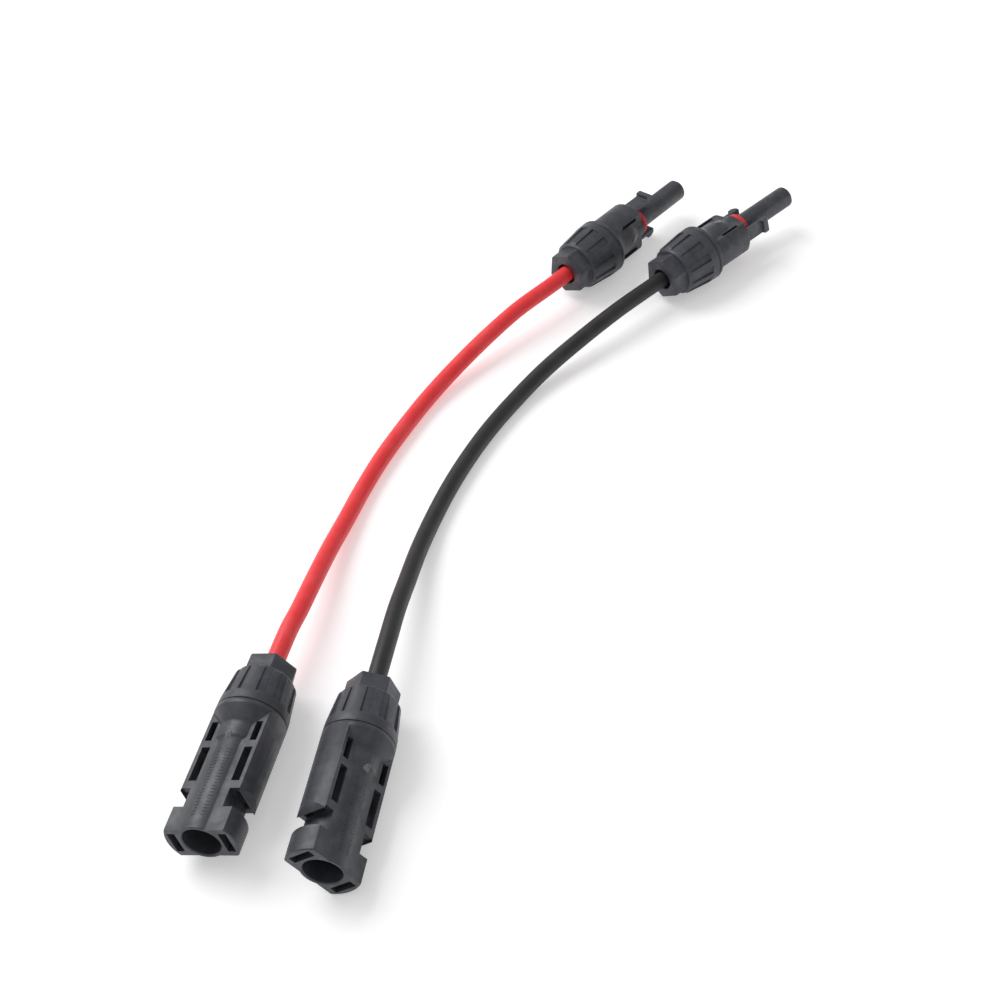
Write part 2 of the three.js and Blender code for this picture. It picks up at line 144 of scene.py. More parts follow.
def jacket_material(name, colour, worn, roughness):
    """Extruded cross-linked polyolefin: satin, with faint die lines along it and light scuffs."""
    material = bpy.data.materials.new(name)
    material.use_nodes = True
    tree = material.node_tree
    surface = tree.nodes["Principled BSDF"]
    along = add(tree, "ShaderNodeUVMap", uv_map="jacket").outputs["UV"]
    place = add(tree, "ShaderNodeTexCoord").outputs["Object"]
    # die lines: 0.25 mm apart round the jacket, drawn out to about 30 mm along it
    die = add(tree, "ShaderNodeMapping", {"Vector": along, "Scale": (4000.0, 33.0, 1.0)})
    lines = add(tree, "ShaderNodeTexNoise",
                {"Vector": die.outputs["Vector"], "Scale": 1.0, "Detail": 2.0})
    # the melt leaves a soft orange peel about 0.4 mm across
    peel = add(tree, "ShaderNodeTexNoise", {"Vector": place, "Scale": 2500.0, "Detail": 3.0})
    scuffs = add(tree, "ShaderNodeTexNoise", {"Vector": place, "Scale": 140.0, "Detail": 6.0,
                                              "Roughness": 0.65})
    dusty = add(tree, "ShaderNodeMapRange", {"Value": scuffs.outputs["Fac"], "From Min": 0.45,
                                             "From Max": 0.75, "To Min": 0.0, "To Max": 0.35})
    tint = add(tree, "ShaderNodeMix", {"Factor": dusty.outputs["Result"], "A": linear(colour),
                                       "B": linear(worn)}, data_type="RGBA")
    rough = add(tree, "ShaderNodeMapRange", {"Value": scuffs.outputs["Fac"], "From Min": 0.3,
                                             "From Max": 0.7, "To Min": roughness - 0.06,
                                             "To Max": roughness + 0.1})
    low = add(tree, "ShaderNodeBump", {"Height": lines.outputs["Fac"], "Strength": 0.25,
                                       "Distance": 0.00004})
    high = add(tree, "ShaderNodeBump", {"Height": peel.outputs["Fac"], "Strength": 0.25,
                                        "Distance": 0.00003, "Normal": low.outputs["Normal"]})
    tree.links.new(tint.outputs["Result"], surface.inputs["Base Color"])
    tree.links.new(rough.outputs["Result"], surface.inputs["Roughness"])
    tree.links.new(high.outputs["Normal"], surface.inputs["Normal"])
    surface.inputs["IOR"].default_value = 1.5
    return material


def jacket_mesh(name, route):
    """A closed tube round the route, with its seam underneath and a UV map in metres."""
    shell = bmesh.new()
    unwrap = shell.loops.layers.uv.new("jacket")
    radius = JACKET_DIAMETER / 2
    travelled, rings, lengths = 0.0, [], []
    for i, point in enumerate(route):
        before, after = route[max(i - 1, 0)], route[min(i + 1, len(route) - 1)]
        ahead = (after - before).normalized()
        aside = ahead.cross(Vector((0, 0, 1))).normalized()
        above = aside.cross(ahead)
        travelled += (point - before).length if i else 0.0
        lengths.append(travelled)
        rings.append([shell.verts.new(point + radius * (
            math.cos(angle) * aside + math.sin(angle) * above))
            for angle in (math.tau * k / JACKET_SIDES - math.pi / 2 for k in range(JACKET_SIDES))])
    step = math.tau * radius / JACKET_SIDES
    for i in range(len(rings) - 1):
        for k in range(JACKET_SIDES):
            n = (k + 1) % JACKET_SIDES
            face = shell.faces.new((rings[i][k], rings[i][n], rings[i + 1][n], rings[i + 1][k]))
            face.smooth = True
            spots = ((k, i), (k + 1, i), (k + 1, i + 1), (k, i + 1))
            for loop, (turn, ring) in zip(face.loops, spots):
                loop[unwrap].uv = (turn * step, lengths[ring])
    shell.faces.new(list(reversed(rings[0])))
    shell.faces.new(rings[-1])
    bmesh.ops.recalc_face_normals(shell, faces=shell.faces)
    mesh = bpy.data.meshes.new(name)
    shell.to_mesh(mesh)
    shell.free()
    return mesh


def shown(name, mesh):
    """A mesh as an object of the scene, at the origin."""
    made = bpy.data.objects.new(name, mesh)
    bpy.context.scene.collection.objects.link(made)
    return made


jacket_finishes = {
    "red": jacket_material("red_xlpo_jacket", "#f03036", "#f4686a", 0.42),
    "black": jacket_material("black_xlpo_jacket", "#1d1d20", "#3b3b40", 0.46),
}
for lead in LEADS:
    near, far = places[lead, "receptacle"], places[lead, "plug"]
    middle = (JACKET_START + JACKET_STRAIGHT) / 2
    leaving = [near @ Vector((x, 0, 0)) for x in (JACKET_START, middle, JACKET_STRAIGHT)]
    arriving = [far @ Vector((x, 0, 0)) for x in (JACKET_STRAIGHT, middle, JACKET_START)]
    route = smooth_route([*leaving, *map(Vector, JACKET_LAYS[lead]), *arriving], JACKET_STEPS)
    jacket = shown(f"{lead}_jacket", jacket_mesh(f"{lead}_jacket", route))
    jacket.data.materials.append(jacket_finishes[lead])
    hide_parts(f"{lead}_cable_jacket")
    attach(jacket, f"{lead}_lead")

# ---- Gland nuts -------------------------------------------------------------------------------
# Injection-moulded polyamide cap nuts with a right-hand thread inside: a plain ring at the mouth,
# twelve finger flutes running out to a chamfered shoulder, and a hexagon for the spanner.
NUT_FLUTES = 12
FLUTE_HALF_ANGLE = math.radians(7.9)
FLUTE_EDGE = math.radians(0.5)
FLUTE_FROM = -3.2
FLUTE_FLOOR = 8.72             # mm from the axis at the deep end, by the ring
FLUTE_RISE = 0.085             # the floor follows the draft of the mould
NUT_SHOULDER = -12.7           # where the shoulder ends and the hexagon starts
HEX_CORNER = 7.2
HEX_CORNER_ROUND = 0.985       # how much of the sharp corner is left


def ringed(rings):
    """A shell of four-sided faces over a closed loop of rings that have as many points each."""
    shell = bmesh.new()
    grid = [[shell.verts.new(point) for point in ring] for ring in rings]
    for i, ring in enumerate(grid):
        following = grid[(i + 1) % len(grid)]
        for k in range(len(ring)):
            n = (k + 1) % len(ring)
            shell.faces.new((ring[k], ring[n], following[n], following[k]))
    return shell


def finished(shell, name, sharp=35.0):
    """The shell as a mesh: merged, facing out, and smooth up to the given angle in degrees."""
    bmesh.ops.remove_doubles(shell, verts=shell.verts, dist=1e-4)
    bmesh.ops.recalc_face_normals(shell, faces=shell.faces)
    mesh = bpy.data.meshes.new(name)
    shell.to_mesh(mesh)
    shell.free()
    mesh.polygons.foreach_set("use_smooth", [True] * len(mesh.polygons))
    mesh.set_sharp_from_angle(angle=math.radians(sharp))
    return mesh


def hexagon_radius(angle):
    """Distance from the axis to a hexagon with slightly rounded corners, one of them at 0."""
    within = (angle + math.pi / 6) % (math.pi / 3) - math.pi / 6
    flat = HEX_CORNER * math.cos(math.pi / 6)
    sharp = flat / math.cos(math.pi / 6 - abs(within))
    return min(sharp, HEX_CORNER * HEX_CORNER_ROUND)


def nut_shell():
    """The nut without its flutes. Rings are closest where the flutes' edges will come."""
    half = [0, 0.8, 1.6, 2.6, 4.5, 6.6, 7.2, 7.4, 7.6, 7.8, 8.0, 8.2, 8.4, 8.6, 9.2, 12, 15]
    one = sorted({*half, *(-a for a in half[1:-1])})
    angles = [math.radians(a + 30 * i) for i in range(NUT_FLUTES) for a in one]
    body = [(-10.4, 7.9), (-8.0, 7.9), (-0.75, 7.9), (-0.2, 8.35), (-0.15, 8.5), (-0.15, 9.2),
            (-0.19, 9.36), (-0.3, 9.46), (-0.45, 9.49), (-2.6, 9.41), (-2.95, 9.39),
            (-3.05, 9.38), (-3.13, 9.375), (-3.2, 9.37), (-3.27, 9.36), (-3.35, 9.35),
            (-3.5, 9.33), (-5.0, 9.16), (-7.0, 8.93), (-9.0, 8.70), (-10.6, 8.51),
            (-11.2, 8.44), (-11.5, 8.41), (-11.65, 8.33), (-11.85, 8.17), (-12.1, 7.98),
            (-12.45, 7.7), (-12.62, 7.56), (NUT_SHOULDER, 7.45), (NUT_SHOULDER, 7.4)]
    rings = [[(x, r * math.cos(a), r * math.sin(a)) for a in angles] for x, r in body]
    collar = [(NUT_SHOULDER, 0.14), (-12.76, 0.05), (-12.9, 0.0), (-15.0, 0.0), (-17.35, 0.0),
              (-17.55, -0.07), (-17.66, -0.2), (NUT_BACK, -0.4)]
    for x, more in collar:
        radii = [hexagon_radius(a) + more for a in angles]
        rings.append([(x, r * math.cos(a), r * math.sin(a)) for a, r in zip(angles, radii)])
    hole = [(NUT_BACK, 4.6), (NUT_BACK, 3.75), (-17.62, 3.52), (-17.4, 3.37), (-17.1, 3.35),
            (-14.4, 3.35), (-14.4, 4.1)]
    rings += [[(x, r * math.cos(a), r * math.sin(a)) for a in angles] for x, r in hole]
    return finished(ringed(rings), "nut_shell")


def new_tree(name, *inputs):
    """An empty Geometry Nodes tree with a geometry in and out and the named inputs."""
    tree = bpy.data.node_groups.new(name, "GeometryNodeTree")
    tree.interface.new_socket("Geometry", in_out="INPUT", socket_type="NodeSocketGeometry")
    tree.interface.new_socket("Geometry", in_out="OUTPUT", socket_type="NodeSocketGeometry")
    for label, kind in inputs:
        tree.interface.new_socket(label, in_out="INPUT", socket_type="NodeSocket" + kind)
    return tree, add(tree, "NodeGroupInput").outputs


def close_tree(tree, geometry, material):
    """Ends a tree in Realize Instances and Set Material."""
    real = add(tree, "GeometryNodeRealizeInstances", {"Geometry": geometry})
    painted = add(tree, "GeometryNodeSetMaterial",
                  {"Geometry": real.outputs["Geometry"], "Material": material})
    add(tree, "NodeGroupOutput", {"Geometry": painted.outputs["Geometry"]})


def flute_tree():
    """Presses a row of flutes into a turned shell: inside each flute the radius is the floor's."""
    tree, given = new_tree("flutes", ("Count", "Int"), ("Half angle", "Float"), ("Edge", "Float"),
                           ("From", "Float"), ("Floor", "Float"), ("Rise", "Float"),
                           ("Material", "Material"))
    place = add(tree, "ShaderNodeSeparateXYZ",
                {"Vector": add(tree, "GeometryNodeInputPosition").outputs[0]})
    x, y, z = place.outputs
    angle = add(tree, "ShaderNodeMath", {0: z, 1: y}, operation="ARCTAN2").outputs[0]
    pitch = add(tree, "ShaderNodeMath", {0: math.tau, 1: given["Count"]}, operation="DIVIDE")
    high = add(tree, "ShaderNodeMath", {0: pitch.outputs[0], 1: 0.5}, operation="MULTIPLY")
    low = add(tree, "ShaderNodeMath", {0: pitch.outputs[0], 1: -0.5}, operation="MULTIPLY")
    local = add(tree, "ShaderNodeMath", {0: angle, 1: high.outputs[0], 2: low.outputs[0]},
                operation="WRAP")
    off = add(tree, "ShaderNodeMath", {0: local.outputs[0]}, operation="ABSOLUTE")
    inner = add(tree, "ShaderNodeMath", {0: given["Half angle"], 1: given["Edge"]},
                operation="SUBTRACT")
    outer = add(tree, "ShaderNodeMath", {0: given["Half angle"], 1: given["Edge"]},
                operation="ADD")
    across = add(tree, "ShaderNodeMapRange", {
        "Value": off.outputs[0], "From Min": inner.outputs[0], "From Max": outer.outputs[0],
        "To Min": 1.0, "To Max": 0.0}, interpolation_type="SMOOTHSTEP")
    behind = add(tree, "ShaderNodeMath", {0: given["From"], 1: x}, operation="SUBTRACT")
    along = add(tree, "ShaderNodeMapRange", {
        "Value": behind.outputs[0], "From Min": -0.12, "From Max": 0.12},
        interpolation_type="SMOOTHSTEP")
    share = add(tree, "ShaderNodeMath", {0: across.outputs["Result"], 1: along.outputs["Result"]},
                operation="MULTIPLY")
    squared = add(tree, "ShaderNodeMath", {0: y, 1: y}, operation="MULTIPLY")
    summed = add(tree, "ShaderNodeMath", {0: z, 1: z, 2: squared.outputs[0]},
                 operation="MULTIPLY_ADD")
    radius = add(tree, "ShaderNodeMath", {0: summed.outputs[0]}, operation="SQRT")
    drop = add(tree, "ShaderNodeMath", {0: behind.outputs[0], 1: given["Rise"]},
               operation="MULTIPLY")
    floor = add(tree, "ShaderNodeMath", {0: given["Floor"], 1: drop.outputs[0]},
                operation="SUBTRACT")
    depth = add(tree, "ShaderNodeMath", {0: floor.outputs[0], 1: radius.outputs[0]},
                operation="SUBTRACT")
    pressed = add(tree, "ShaderNodeMath", {0: depth.outputs[0], 1: 0.0}, operation="MINIMUM")
    final = add(tree, "ShaderNodeMath", {0: pressed.outputs[0], 1: share.outputs[0],
                                         2: radius.outputs[0]}, operation="MULTIPLY_ADD")
    scale = add(tree, "ShaderNodeMath", {0: final.outputs[0], 1: radius.outputs[0]},
                operation="DIVIDE")
    new_y = add(tree, "ShaderNodeMath", {0: y, 1: scale.outputs[0]}, operation="MULTIPLY")
    new_z = add(tree, "ShaderNodeMath", {0: z, 1: scale.outputs[0]}, operation="MULTIPLY")
    moved = add(tree, "ShaderNodeCombineXYZ", {"X": x, "Y": new_y.outputs[0],
                                               "Z": new_z.outputs[0]})
    put = add(tree, "GeometryNodeSetPosition", {"Geometry": given["Geometry"],
                                                "Position": moved.outputs[0]})
    close_tree(tree, put.outputs["Geometry"], given["Material"])
    return tree


def through_tree(mesh, tree, values):
    """The mesh that a Geometry Nodes tree makes of the given one."""
    carrier = shown("carrier", mesh)
    modifier = carrier.modifiers.new("tree", "NODES")
    modifier.node_group = tree
    for item in tree.interface.items_tree:
        if item.in_out == "INPUT" and item.name in values:
            modifier[item.identifier] = values[item.name]
    carrier.update_tag()
    evaluated = carrier.evaluated_get(bpy.context.evaluated_depsgraph_get())
    made = bpy.data.meshes.new_from_object(evaluated)
    bpy.data.objects.remove(carrier)
    return made


def moulded_material(name, colour, worn, roughness, grain):
    """Injection-moulded engineering plastic from a spark-eroded mould: a fine matte grain, faint
    flow marks, and a greyer bloom where handling has rubbed it."""
    material = bpy.data.materials.new(name)
    material.use_nodes = True
    tree = material.node_tree
    surface = tree.nodes["Principled BSDF"]
    place = add(tree, "ShaderNodeTexCoord").outputs["Object"]
    # spark-eroded texture is about 0.05 mm; drawn near 0.2 mm so that it shows
    sparks = add(tree, "ShaderNodeTexNoise", {"Vector": place, "Scale": 5200.0, "Detail": 4.0,
                                              "Roughness": 0.6})
    pits = add(tree, "ShaderNodeTexVoronoi", {"Vector": place, "Scale": 3600.0})
    flow = add(tree, "ShaderNodeTexNoise", {"Vector": place, "Scale": 260.0, "Detail": 5.0,
                                            "Roughness": 0.55, "Distortion": 0.6})
    bloom = add(tree, "ShaderNodeMapRange", {"Value": flow.outputs["Fac"], "From Min": 0.38,
                                             "From Max": 0.72, "To Min": 0.0, "To Max": 0.55})
    speck = add(tree, "ShaderNodeMapRange", {"Value": sparks.outputs["Fac"], "From Min": 0.35,
                                             "From Max": 0.75, "To Min": 0.0, "To Max": 0.3})
    both = add(tree, "ShaderNodeMath", {0: bloom.outputs["Result"], 1: speck.outputs["Result"]},
               operation="ADD", use_clamp=True)
    # on the gate marks the paler colour mixed in here is partly a painted highlight
    tint = add(tree, "ShaderNodeMix", {"Factor": both.outputs[0], "A": linear(colour),
                                       "B": linear(worn)}, data_type="RGBA")
    rough = add(tree, "ShaderNodeMapRange", {"Value": flow.outputs["Fac"], "From Min": 0.3,
                                             "From Max": 0.7, "To Min": roughness + 0.05,
                                             "To Max": roughness - 0.09})
    coarse = add(tree, "ShaderNodeBump", {"Height": pits.outputs["Distance"],
                                          "Strength": grain, "Distance": 0.00003})
    fine = add(tree, "ShaderNodeBump", {"Height": sparks.outputs["Fac"], "Strength": grain,
                                        "Distance": 0.00005, "Normal": coarse.outputs["Normal"]})
    tree.links.new(tint.outputs["Result"], surface.inputs["Base Color"])
    tree.links.new(rough.outputs["Result"], surface.inputs["Roughness"])
    tree.links.new(fine.outputs["Normal"], surface.inputs["Normal"])
    surface.inputs["IOR"].default_value = 1.5
    return material


def fitted(name, mesh, place, material, body, slot, *nodes):
    """A copy of a coupler piece, put in its place in the row frame and on its body."""
    copy = mesh.copy()
    copy.name = name
    copy.transform(place)
    copy.materials.clear()
    copy.materials.append(material)
    made = shown(name, copy)
    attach(made, body)
    if nodes:
        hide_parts(*nodes)
    return made


nut_plastic = moulded_material("polyamide_gland_nut", "#303138", "#4d4f57", 0.48, 0.35)
fluted = through_tree(nut_shell(), flute_tree(), {
    "Count": NUT_FLUTES, "Half angle": FLUTE_HALF_ANGLE, "Edge": FLUTE_EDGE, "From": FLUTE_FROM,
    "Floor": FLUTE_FLOOR, "Rise": FLUTE_RISE, "Material": nut_plastic})
fluted.set_sharp_from_angle(angle=math.radians(40))


def nut_turn(lead, end):
    """How far the nut is screwed on: the angle of a corner of its hexagon from the coupler's Y."""
    place = places[lead, end].to_3x3().normalized()
    flat = place.transposed() @ Vector(mounts[f"{lead}_{end}_spanner_flat"]["axis"])
    return math.atan2(flat.z, flat.y) + math.pi / 6


for lead in LEADS:
    for end in ENDS:
        turned = places[lead, end] @ Matrix.Rotation(nut_turn(lead, end), 4, "X")
        fitted(f"{lead}_{end}_nut", fluted, turned, nut_plastic, f"{lead}_{end}_nut", "gland_nut",
               f"{lead}_{end}_gland_nut")

# ---- Threaded bosses --------------------------------------------------------------------------
# The moulded male thread that each gland nut runs on, 1.5 mm pitch with rounded crests. It is
# part of the housing, and shows when the nut is backed off.
THREAD_PITCH = 1.5
THREAD_ROOT = 7.1
THREAD_DEPTH = 0.62
THREAD_FROM, THREAD_TO = -7.6, -0.1
THREAD_BORE = 6.3
THREAD_SIDES, THREAD_RINGS, THREAD_STEP = 72, 60, 0.125


def thread_tree():
    """Raises a right-hand helical ridge on a turned sleeve, fading out at both ends."""
    tree, given = new_tree("thread", ("Pitch", "Float"), ("Depth", "Float"), ("Root", "Float"),
                           ("From", "Float"), ("To", "Float"), ("Material", "Material"))
    place = add(tree, "ShaderNodeSeparateXYZ",
                {"Vector": add(tree, "GeometryNodeInputPosition").outputs[0]})
    x, y, z = place.outputs
    angle = add(tree, "ShaderNodeMath", {0: z, 1: y}, operation="ARCTAN2").outputs[0]
    share = add(tree, "ShaderNodeMath", {0: angle, 1: math.tau}, operation="DIVIDE")
    turns = add(tree, "ShaderNodeMath", {0: x, 1: given["Pitch"]}, operation="DIVIDE")
    phase = add(tree, "ShaderNodeMath", {0: turns.outputs[0], 1: share.outputs[0]},
                operation="SUBTRACT")
    wave = add(tree, "ShaderNodeMath", {0: phase.outputs[0], 1: 0.5}, operation="PINGPONG")
    ridge = add(tree, "ShaderNodeMapRange", {"Value": wave.outputs[0], "From Min": 0.1,
                                             "From Max": 0.42}, interpolation_type="SMOOTHSTEP")
    ahead = add(tree, "ShaderNodeMath", {0: x, 1: given["From"]}, operation="SUBTRACT")
    behind = add(tree, "ShaderNodeMath", {0: given["To"], 1: x}, operation="SUBTRACT")
    nearest = add(tree, "ShaderNodeMath", {0: ahead.outputs[0], 1: behind.outputs[0]},
                  operation="MINIMUM")
    fade = add(tree, "ShaderNodeMapRange", {"Value": nearest.outputs[0], "From Min": 0.2,
                                            "From Max": 1.0}, interpolation_type="SMOOTHSTEP")
    height = add(tree, "ShaderNodeMath", {0: ridge.outputs["Result"], 1: fade.outputs["Result"]},
                 operation="MULTIPLY")
    raised = add(tree, "ShaderNodeMath", {0: height.outputs[0], 1: given["Depth"]},
                 operation="MULTIPLY")
    squared = add(tree, "ShaderNodeMath", {0: y, 1: y}, operation="MULTIPLY")
    summed = add(tree, "ShaderNodeMath", {0: z, 1: z, 2: squared.outputs[0]},
                 operation="MULTIPLY_ADD")
    radius = add(tree, "ShaderNodeMath", {0: summed.outputs[0]}, operation="SQRT")
    outside = add(tree, "ShaderNodeMath", {0: radius.outputs[0], 1: given["Root"]},
                  operation="SUBTRACT")
    skin = add(tree, "ShaderNodeMath", {0: outside.outputs[0], 1: -0.01},
               operation="GREATER_THAN")
    only = add(tree, "ShaderNodeMath", {0: raised.outputs[0], 1: skin.outputs[0]},
               operation="MULTIPLY")
    final = add(tree, "ShaderNodeMath", {0: radius.outputs[0], 1: only.outputs[0]},
                operation="ADD")
    scale = add(tree, "ShaderNodeMath", {0: final.outputs[0], 1: radius.outputs[0]},
                operation="DIVIDE")
    new_y = add(tree, "ShaderNodeMath", {0: y, 1: scale.outputs[0]}, operation="MULTIPLY")
    new_z = add(tree, "ShaderNodeMath", {0: z, 1: scale.outputs[0]}, operation="MULTIPLY")
    moved = add(tree, "ShaderNodeCombineXYZ", {"X": x, "Y": new_y.outputs[0],
                                               "Z": new_z.outputs[0]})
    put = add(tree, "GeometryNodeSetPosition", {"Geometry": given["Geometry"],
                                                "Position": moved.outputs[0]})
    close_tree(tree, put.outputs["Geometry"], given["Material"])
    return tree


def circle_ring(x, radius, sides):
    """One ring of points round the coupler's axis."""
    return [(x, radius * math.cos(math.tau * k / sides), radius * math.sin(math.tau * k / sides))
            for k in range(sides)]


housing_plastic = moulded_material("polyphenylene_ether_housing", "#2d2e34", "#4c4e56", 0.46, 0.4)
sleeve_rings = [circle_ring(THREAD_FROM + THREAD_STEP * i, THREAD_ROOT, THREAD_SIDES)
                for i in range(THREAD_RINGS)]
sleeve_rings += [circle_ring(x, THREAD_BORE, THREAD_SIDES) for x in (THREAD_TO, THREAD_FROM)]
thread = through_tree(finished(ringed(sleeve_rings), "sleeve"), thread_tree(), {
    "Pitch": THREAD_PITCH, "Depth": THREAD_DEPTH, "Root": THREAD_ROOT, "From": THREAD_FROM,
    "To": THREAD_TO, "Material": housing_plastic})
for lead in LEADS:
    for end in ENDS:
        fitted(f"{lead}_{end}_boss_thread", thread, places[lead, end], housing_plastic,
               f"{lead}_lead", "housing")

# ---- Receptacle housings ----------------------------------------------------------------------
# One moulding: a rim and dome behind, a round barrel with the mating bore, and a slab across it
# with two flat plates, windows for the mould's cores, and the slots and notches for the latches.
RIM = 9.5
PLATE = 5.0                    # half height over the flat plates
BARREL = 5.9
MATING_BORE = 4.95
RECEPTACLE_FRONT = 37.6
SLOT_INNER, SLOT_OUTER, SLOT_HALF = 5.95, 8.05, 3.4
NOTCH_FROM, NOTCH_TO = 25.1, 30.65
OUTSIDE = 11                   # mm, clear of the housing on any side
SEAL_POCKET = 5.9
MOULD_EDGE = 0.22              # radius left on moulded edges


def turned_mesh(profile, sides=96):
    """A closed solid turned about X from (x, radius) pairs that start and end on the axis."""
    inner = [circle_ring(x, r, sides) for x, r in profile[1:-1]]
    shell = bmesh.new()
    grid = [[shell.verts.new(point) for point in ring] for ring in inner]
    for ring, following in zip(grid, grid[1:]):
        for k in range(sides):
            n = (k + 1) % sides
            shell.faces.new((ring[k], ring[n], following[n], following[k]))
    shell.faces.new(list(reversed(grid[0])))
    shell.faces.new(grid[-1])
    bmesh.ops.recalc_face_normals(shell, faces=shell.faces)
    mesh = bpy.data.meshes.new("turned")
    shell.to_mesh(mesh)
    shell.free()
    return mesh


def hull_mesh(points):
    """The smallest closed solid round some points."""
    shell = bmesh.new()
    for point in points:
        shell.verts.new(point)
    bmesh.ops.convex_hull(shell, input=shell.verts)
    bmesh.ops.dissolve_limit(shell, angle_limit=0.01, verts=shell.verts, edges=shell.edges)
    bmesh.ops.recalc_face_normals(shell, faces=shell.faces)
    mesh = bpy.data.meshes.new("hull")
    shell.to_mesh(mesh)
    shell.free()
    return mesh


def block_mesh(x0, x1, y0, y1, z0, z1):
    """A block between two corners."""
    return hull_mesh([(x, y, z) for x in (x0, x1) for y in (y0, y1) for z in (z0, z1)])


def side_block(side, x0, x1, inner, outer, half):
    """A block between two distances from the axis, on one latch side."""
    return block_mesh(x0, x1, side * inner, side * outer, -half, half)


def carved(start, steps):
    """The mesh after each step has been joined to it, cut from it or crossed with it."""
    body = shown("carved", start)
    tools = []
    for how, mesh in steps:
        tools.append(shown("tool", mesh))
        step = body.modifiers.new("step", "BOOLEAN")
        step.operation, step.object, step.solver = how, tools[-1], "MANIFOLD"
    bpy.context.view_layer.update()
    made = bpy.data.meshes.new_from_object(
        body.evaluated_get(bpy.context.evaluated_depsgraph_get()))
    for used in (body, *tools):
        bpy.data.objects.remove(used)
    return made


def rounded(mesh, width, angle=38.0, segments=2):
    """The mesh with its sharp edges rounded as a mould leaves them, and its flat faces flat."""
    shell = bmesh.new()
    shell.from_mesh(mesh)
    bmesh.ops.remove_doubles(shell, verts=shell.verts, dist=0.004)
    bmesh.ops.dissolve_limit(shell, angle_limit=math.radians(0.6), verts=shell.verts,
                             edges=shell.edges)
    shell.to_mesh(mesh)
    shell.free()
    carrier = shown("carrier", mesh)
    mesh.polygons.foreach_set("use_smooth", [True] * len(mesh.polygons))
    bevel = carrier.modifiers.new("edges", "BEVEL")
    bevel.limit_method, bevel.angle_limit = "ANGLE", math.radians(angle)
    bevel.width, bevel.segments = width, segments
    bevel.use_clamp_overlap = True
    bevel.miter_outer = "MITER_ARC"
    bevel.face_strength_mode = "FSTR_ALL"
    weighted = carrier.modifiers.new("shading", "WEIGHTED_NORMAL")
    weighted.mode = "CORNER_ANGLE"
    weighted.use_face_influence = True
    bpy.context.view_layer.update()
    made = bpy.data.meshes.new_from_object(
        carrier.evaluated_get(bpy.context.evaluated_depsgraph_get()))
    bpy.data.objects.remove(carrier)
    return made


def receptacle_mesh():
    """The slab cut from a round, with its dome and barrel added and its openings taken out."""
    round_body = turned_mesh([(0, 0), (0, 9.3), (0.2, RIM), (37.35, RIM),
                              (RECEPTACLE_FRONT, 9.25), (RECEPTACLE_FRONT, 0)])
    core = turned_mesh([(-7.6, 0), (-7.6, 6.9), (-7.5, 7.05), (0, 7.05), (0, 9.3), (0.06, 9.42),
                        (0.2, RIM), (1.3, RIM), (1.5, 9.42), (4.8, 7.05), (5.1, 6.86),
                        (5.5, 6.72), (6.0, 6.66), (9.0, 6.6), (9.3, 6.54), (9.6, 6.38),
                        (11.3, 5.1), (11.6, 4.9), (11.6, 0)])
    steps = [("INTERSECT", block_mesh(-1, 39, -OUTSIDE, OUTSIDE, -PLATE, PLATE)),
             ("UNION", core)]
    for side in (1, -1):
        notch = side_block(side, NOTCH_FROM, NOTCH_TO, 5.4, 8.1, OUTSIDE)
        ramp = hull_mesh([(x, side * y, z) for z in (-OUTSIDE, OUTSIDE) for x, y in (
            (25.9, SLOT_OUTER), (NOTCH_TO, SLOT_OUTER), (NOTCH_TO, 12), (23.0, 10.2),
            (23.0, 12))])
        latch_slot = side_block(side, 4.2, 39, SLOT_INNER, SLOT_OUTER, SLOT_HALF)
        short_window = side_block(side, 4.3, 10.3, 5.4, 7.2, OUTSIDE)
        long_window = side_block(side, 12.4, 22.8, 4.8, 7.05, OUTSIDE)
        steps += [("DIFFERENCE", cut)
                  for cut in (notch, ramp, latch_slot, short_window, long_window)]
    steps.append(("UNION", turned_mesh([(1.3, 0), (1.3, BARREL), (37.4, BARREL),
                                        (RECEPTACLE_FRONT, BARREL - 0.2),
                                        (RECEPTACLE_FRONT, 0)])))
    steps.append(("DIFFERENCE", turned_mesh([(11.4, 0), (11.4, MATING_BORE), (37.3, MATING_BORE),
                                             (38.5, MATING_BORE + 1.2), (38.5, 0)], 72)))
    steps.append(("DIFFERENCE", turned_mesh([(-8.6, 0), (-8.6, SEAL_POCKET), (-2.6, SEAL_POCKET),
                                             (-2.6, 3.1), (12.4, 3.1), (12.4, 0)], 48)))
    return rounded(carved(round_body, steps), MOULD_EDGE)


receptacle = receptacle_mesh()
for lead in LEADS:
    fitted(f"{lead}_receptacle_body", receptacle, places[lead, "receptacle"], housing_plastic,
           f"{lead}_lead", "housing", f"{lead}_receptacle_housing")

# ---- Plate relief -----------------------------------------------------------------------------
# Two rows of plain raised bars along each flat side of a receptacle, cut into the mould as shallow
# marks. They say nothing: they only give the plate the relief that such mouldings carry.
BAR_COUNT = 22
BAR_PITCH = 0.95
BAR_HEIGHT = 0.12
BARS_FROM = 13.5
BARS_LEAN = 13                 # degrees from the middle of the flat side to a row


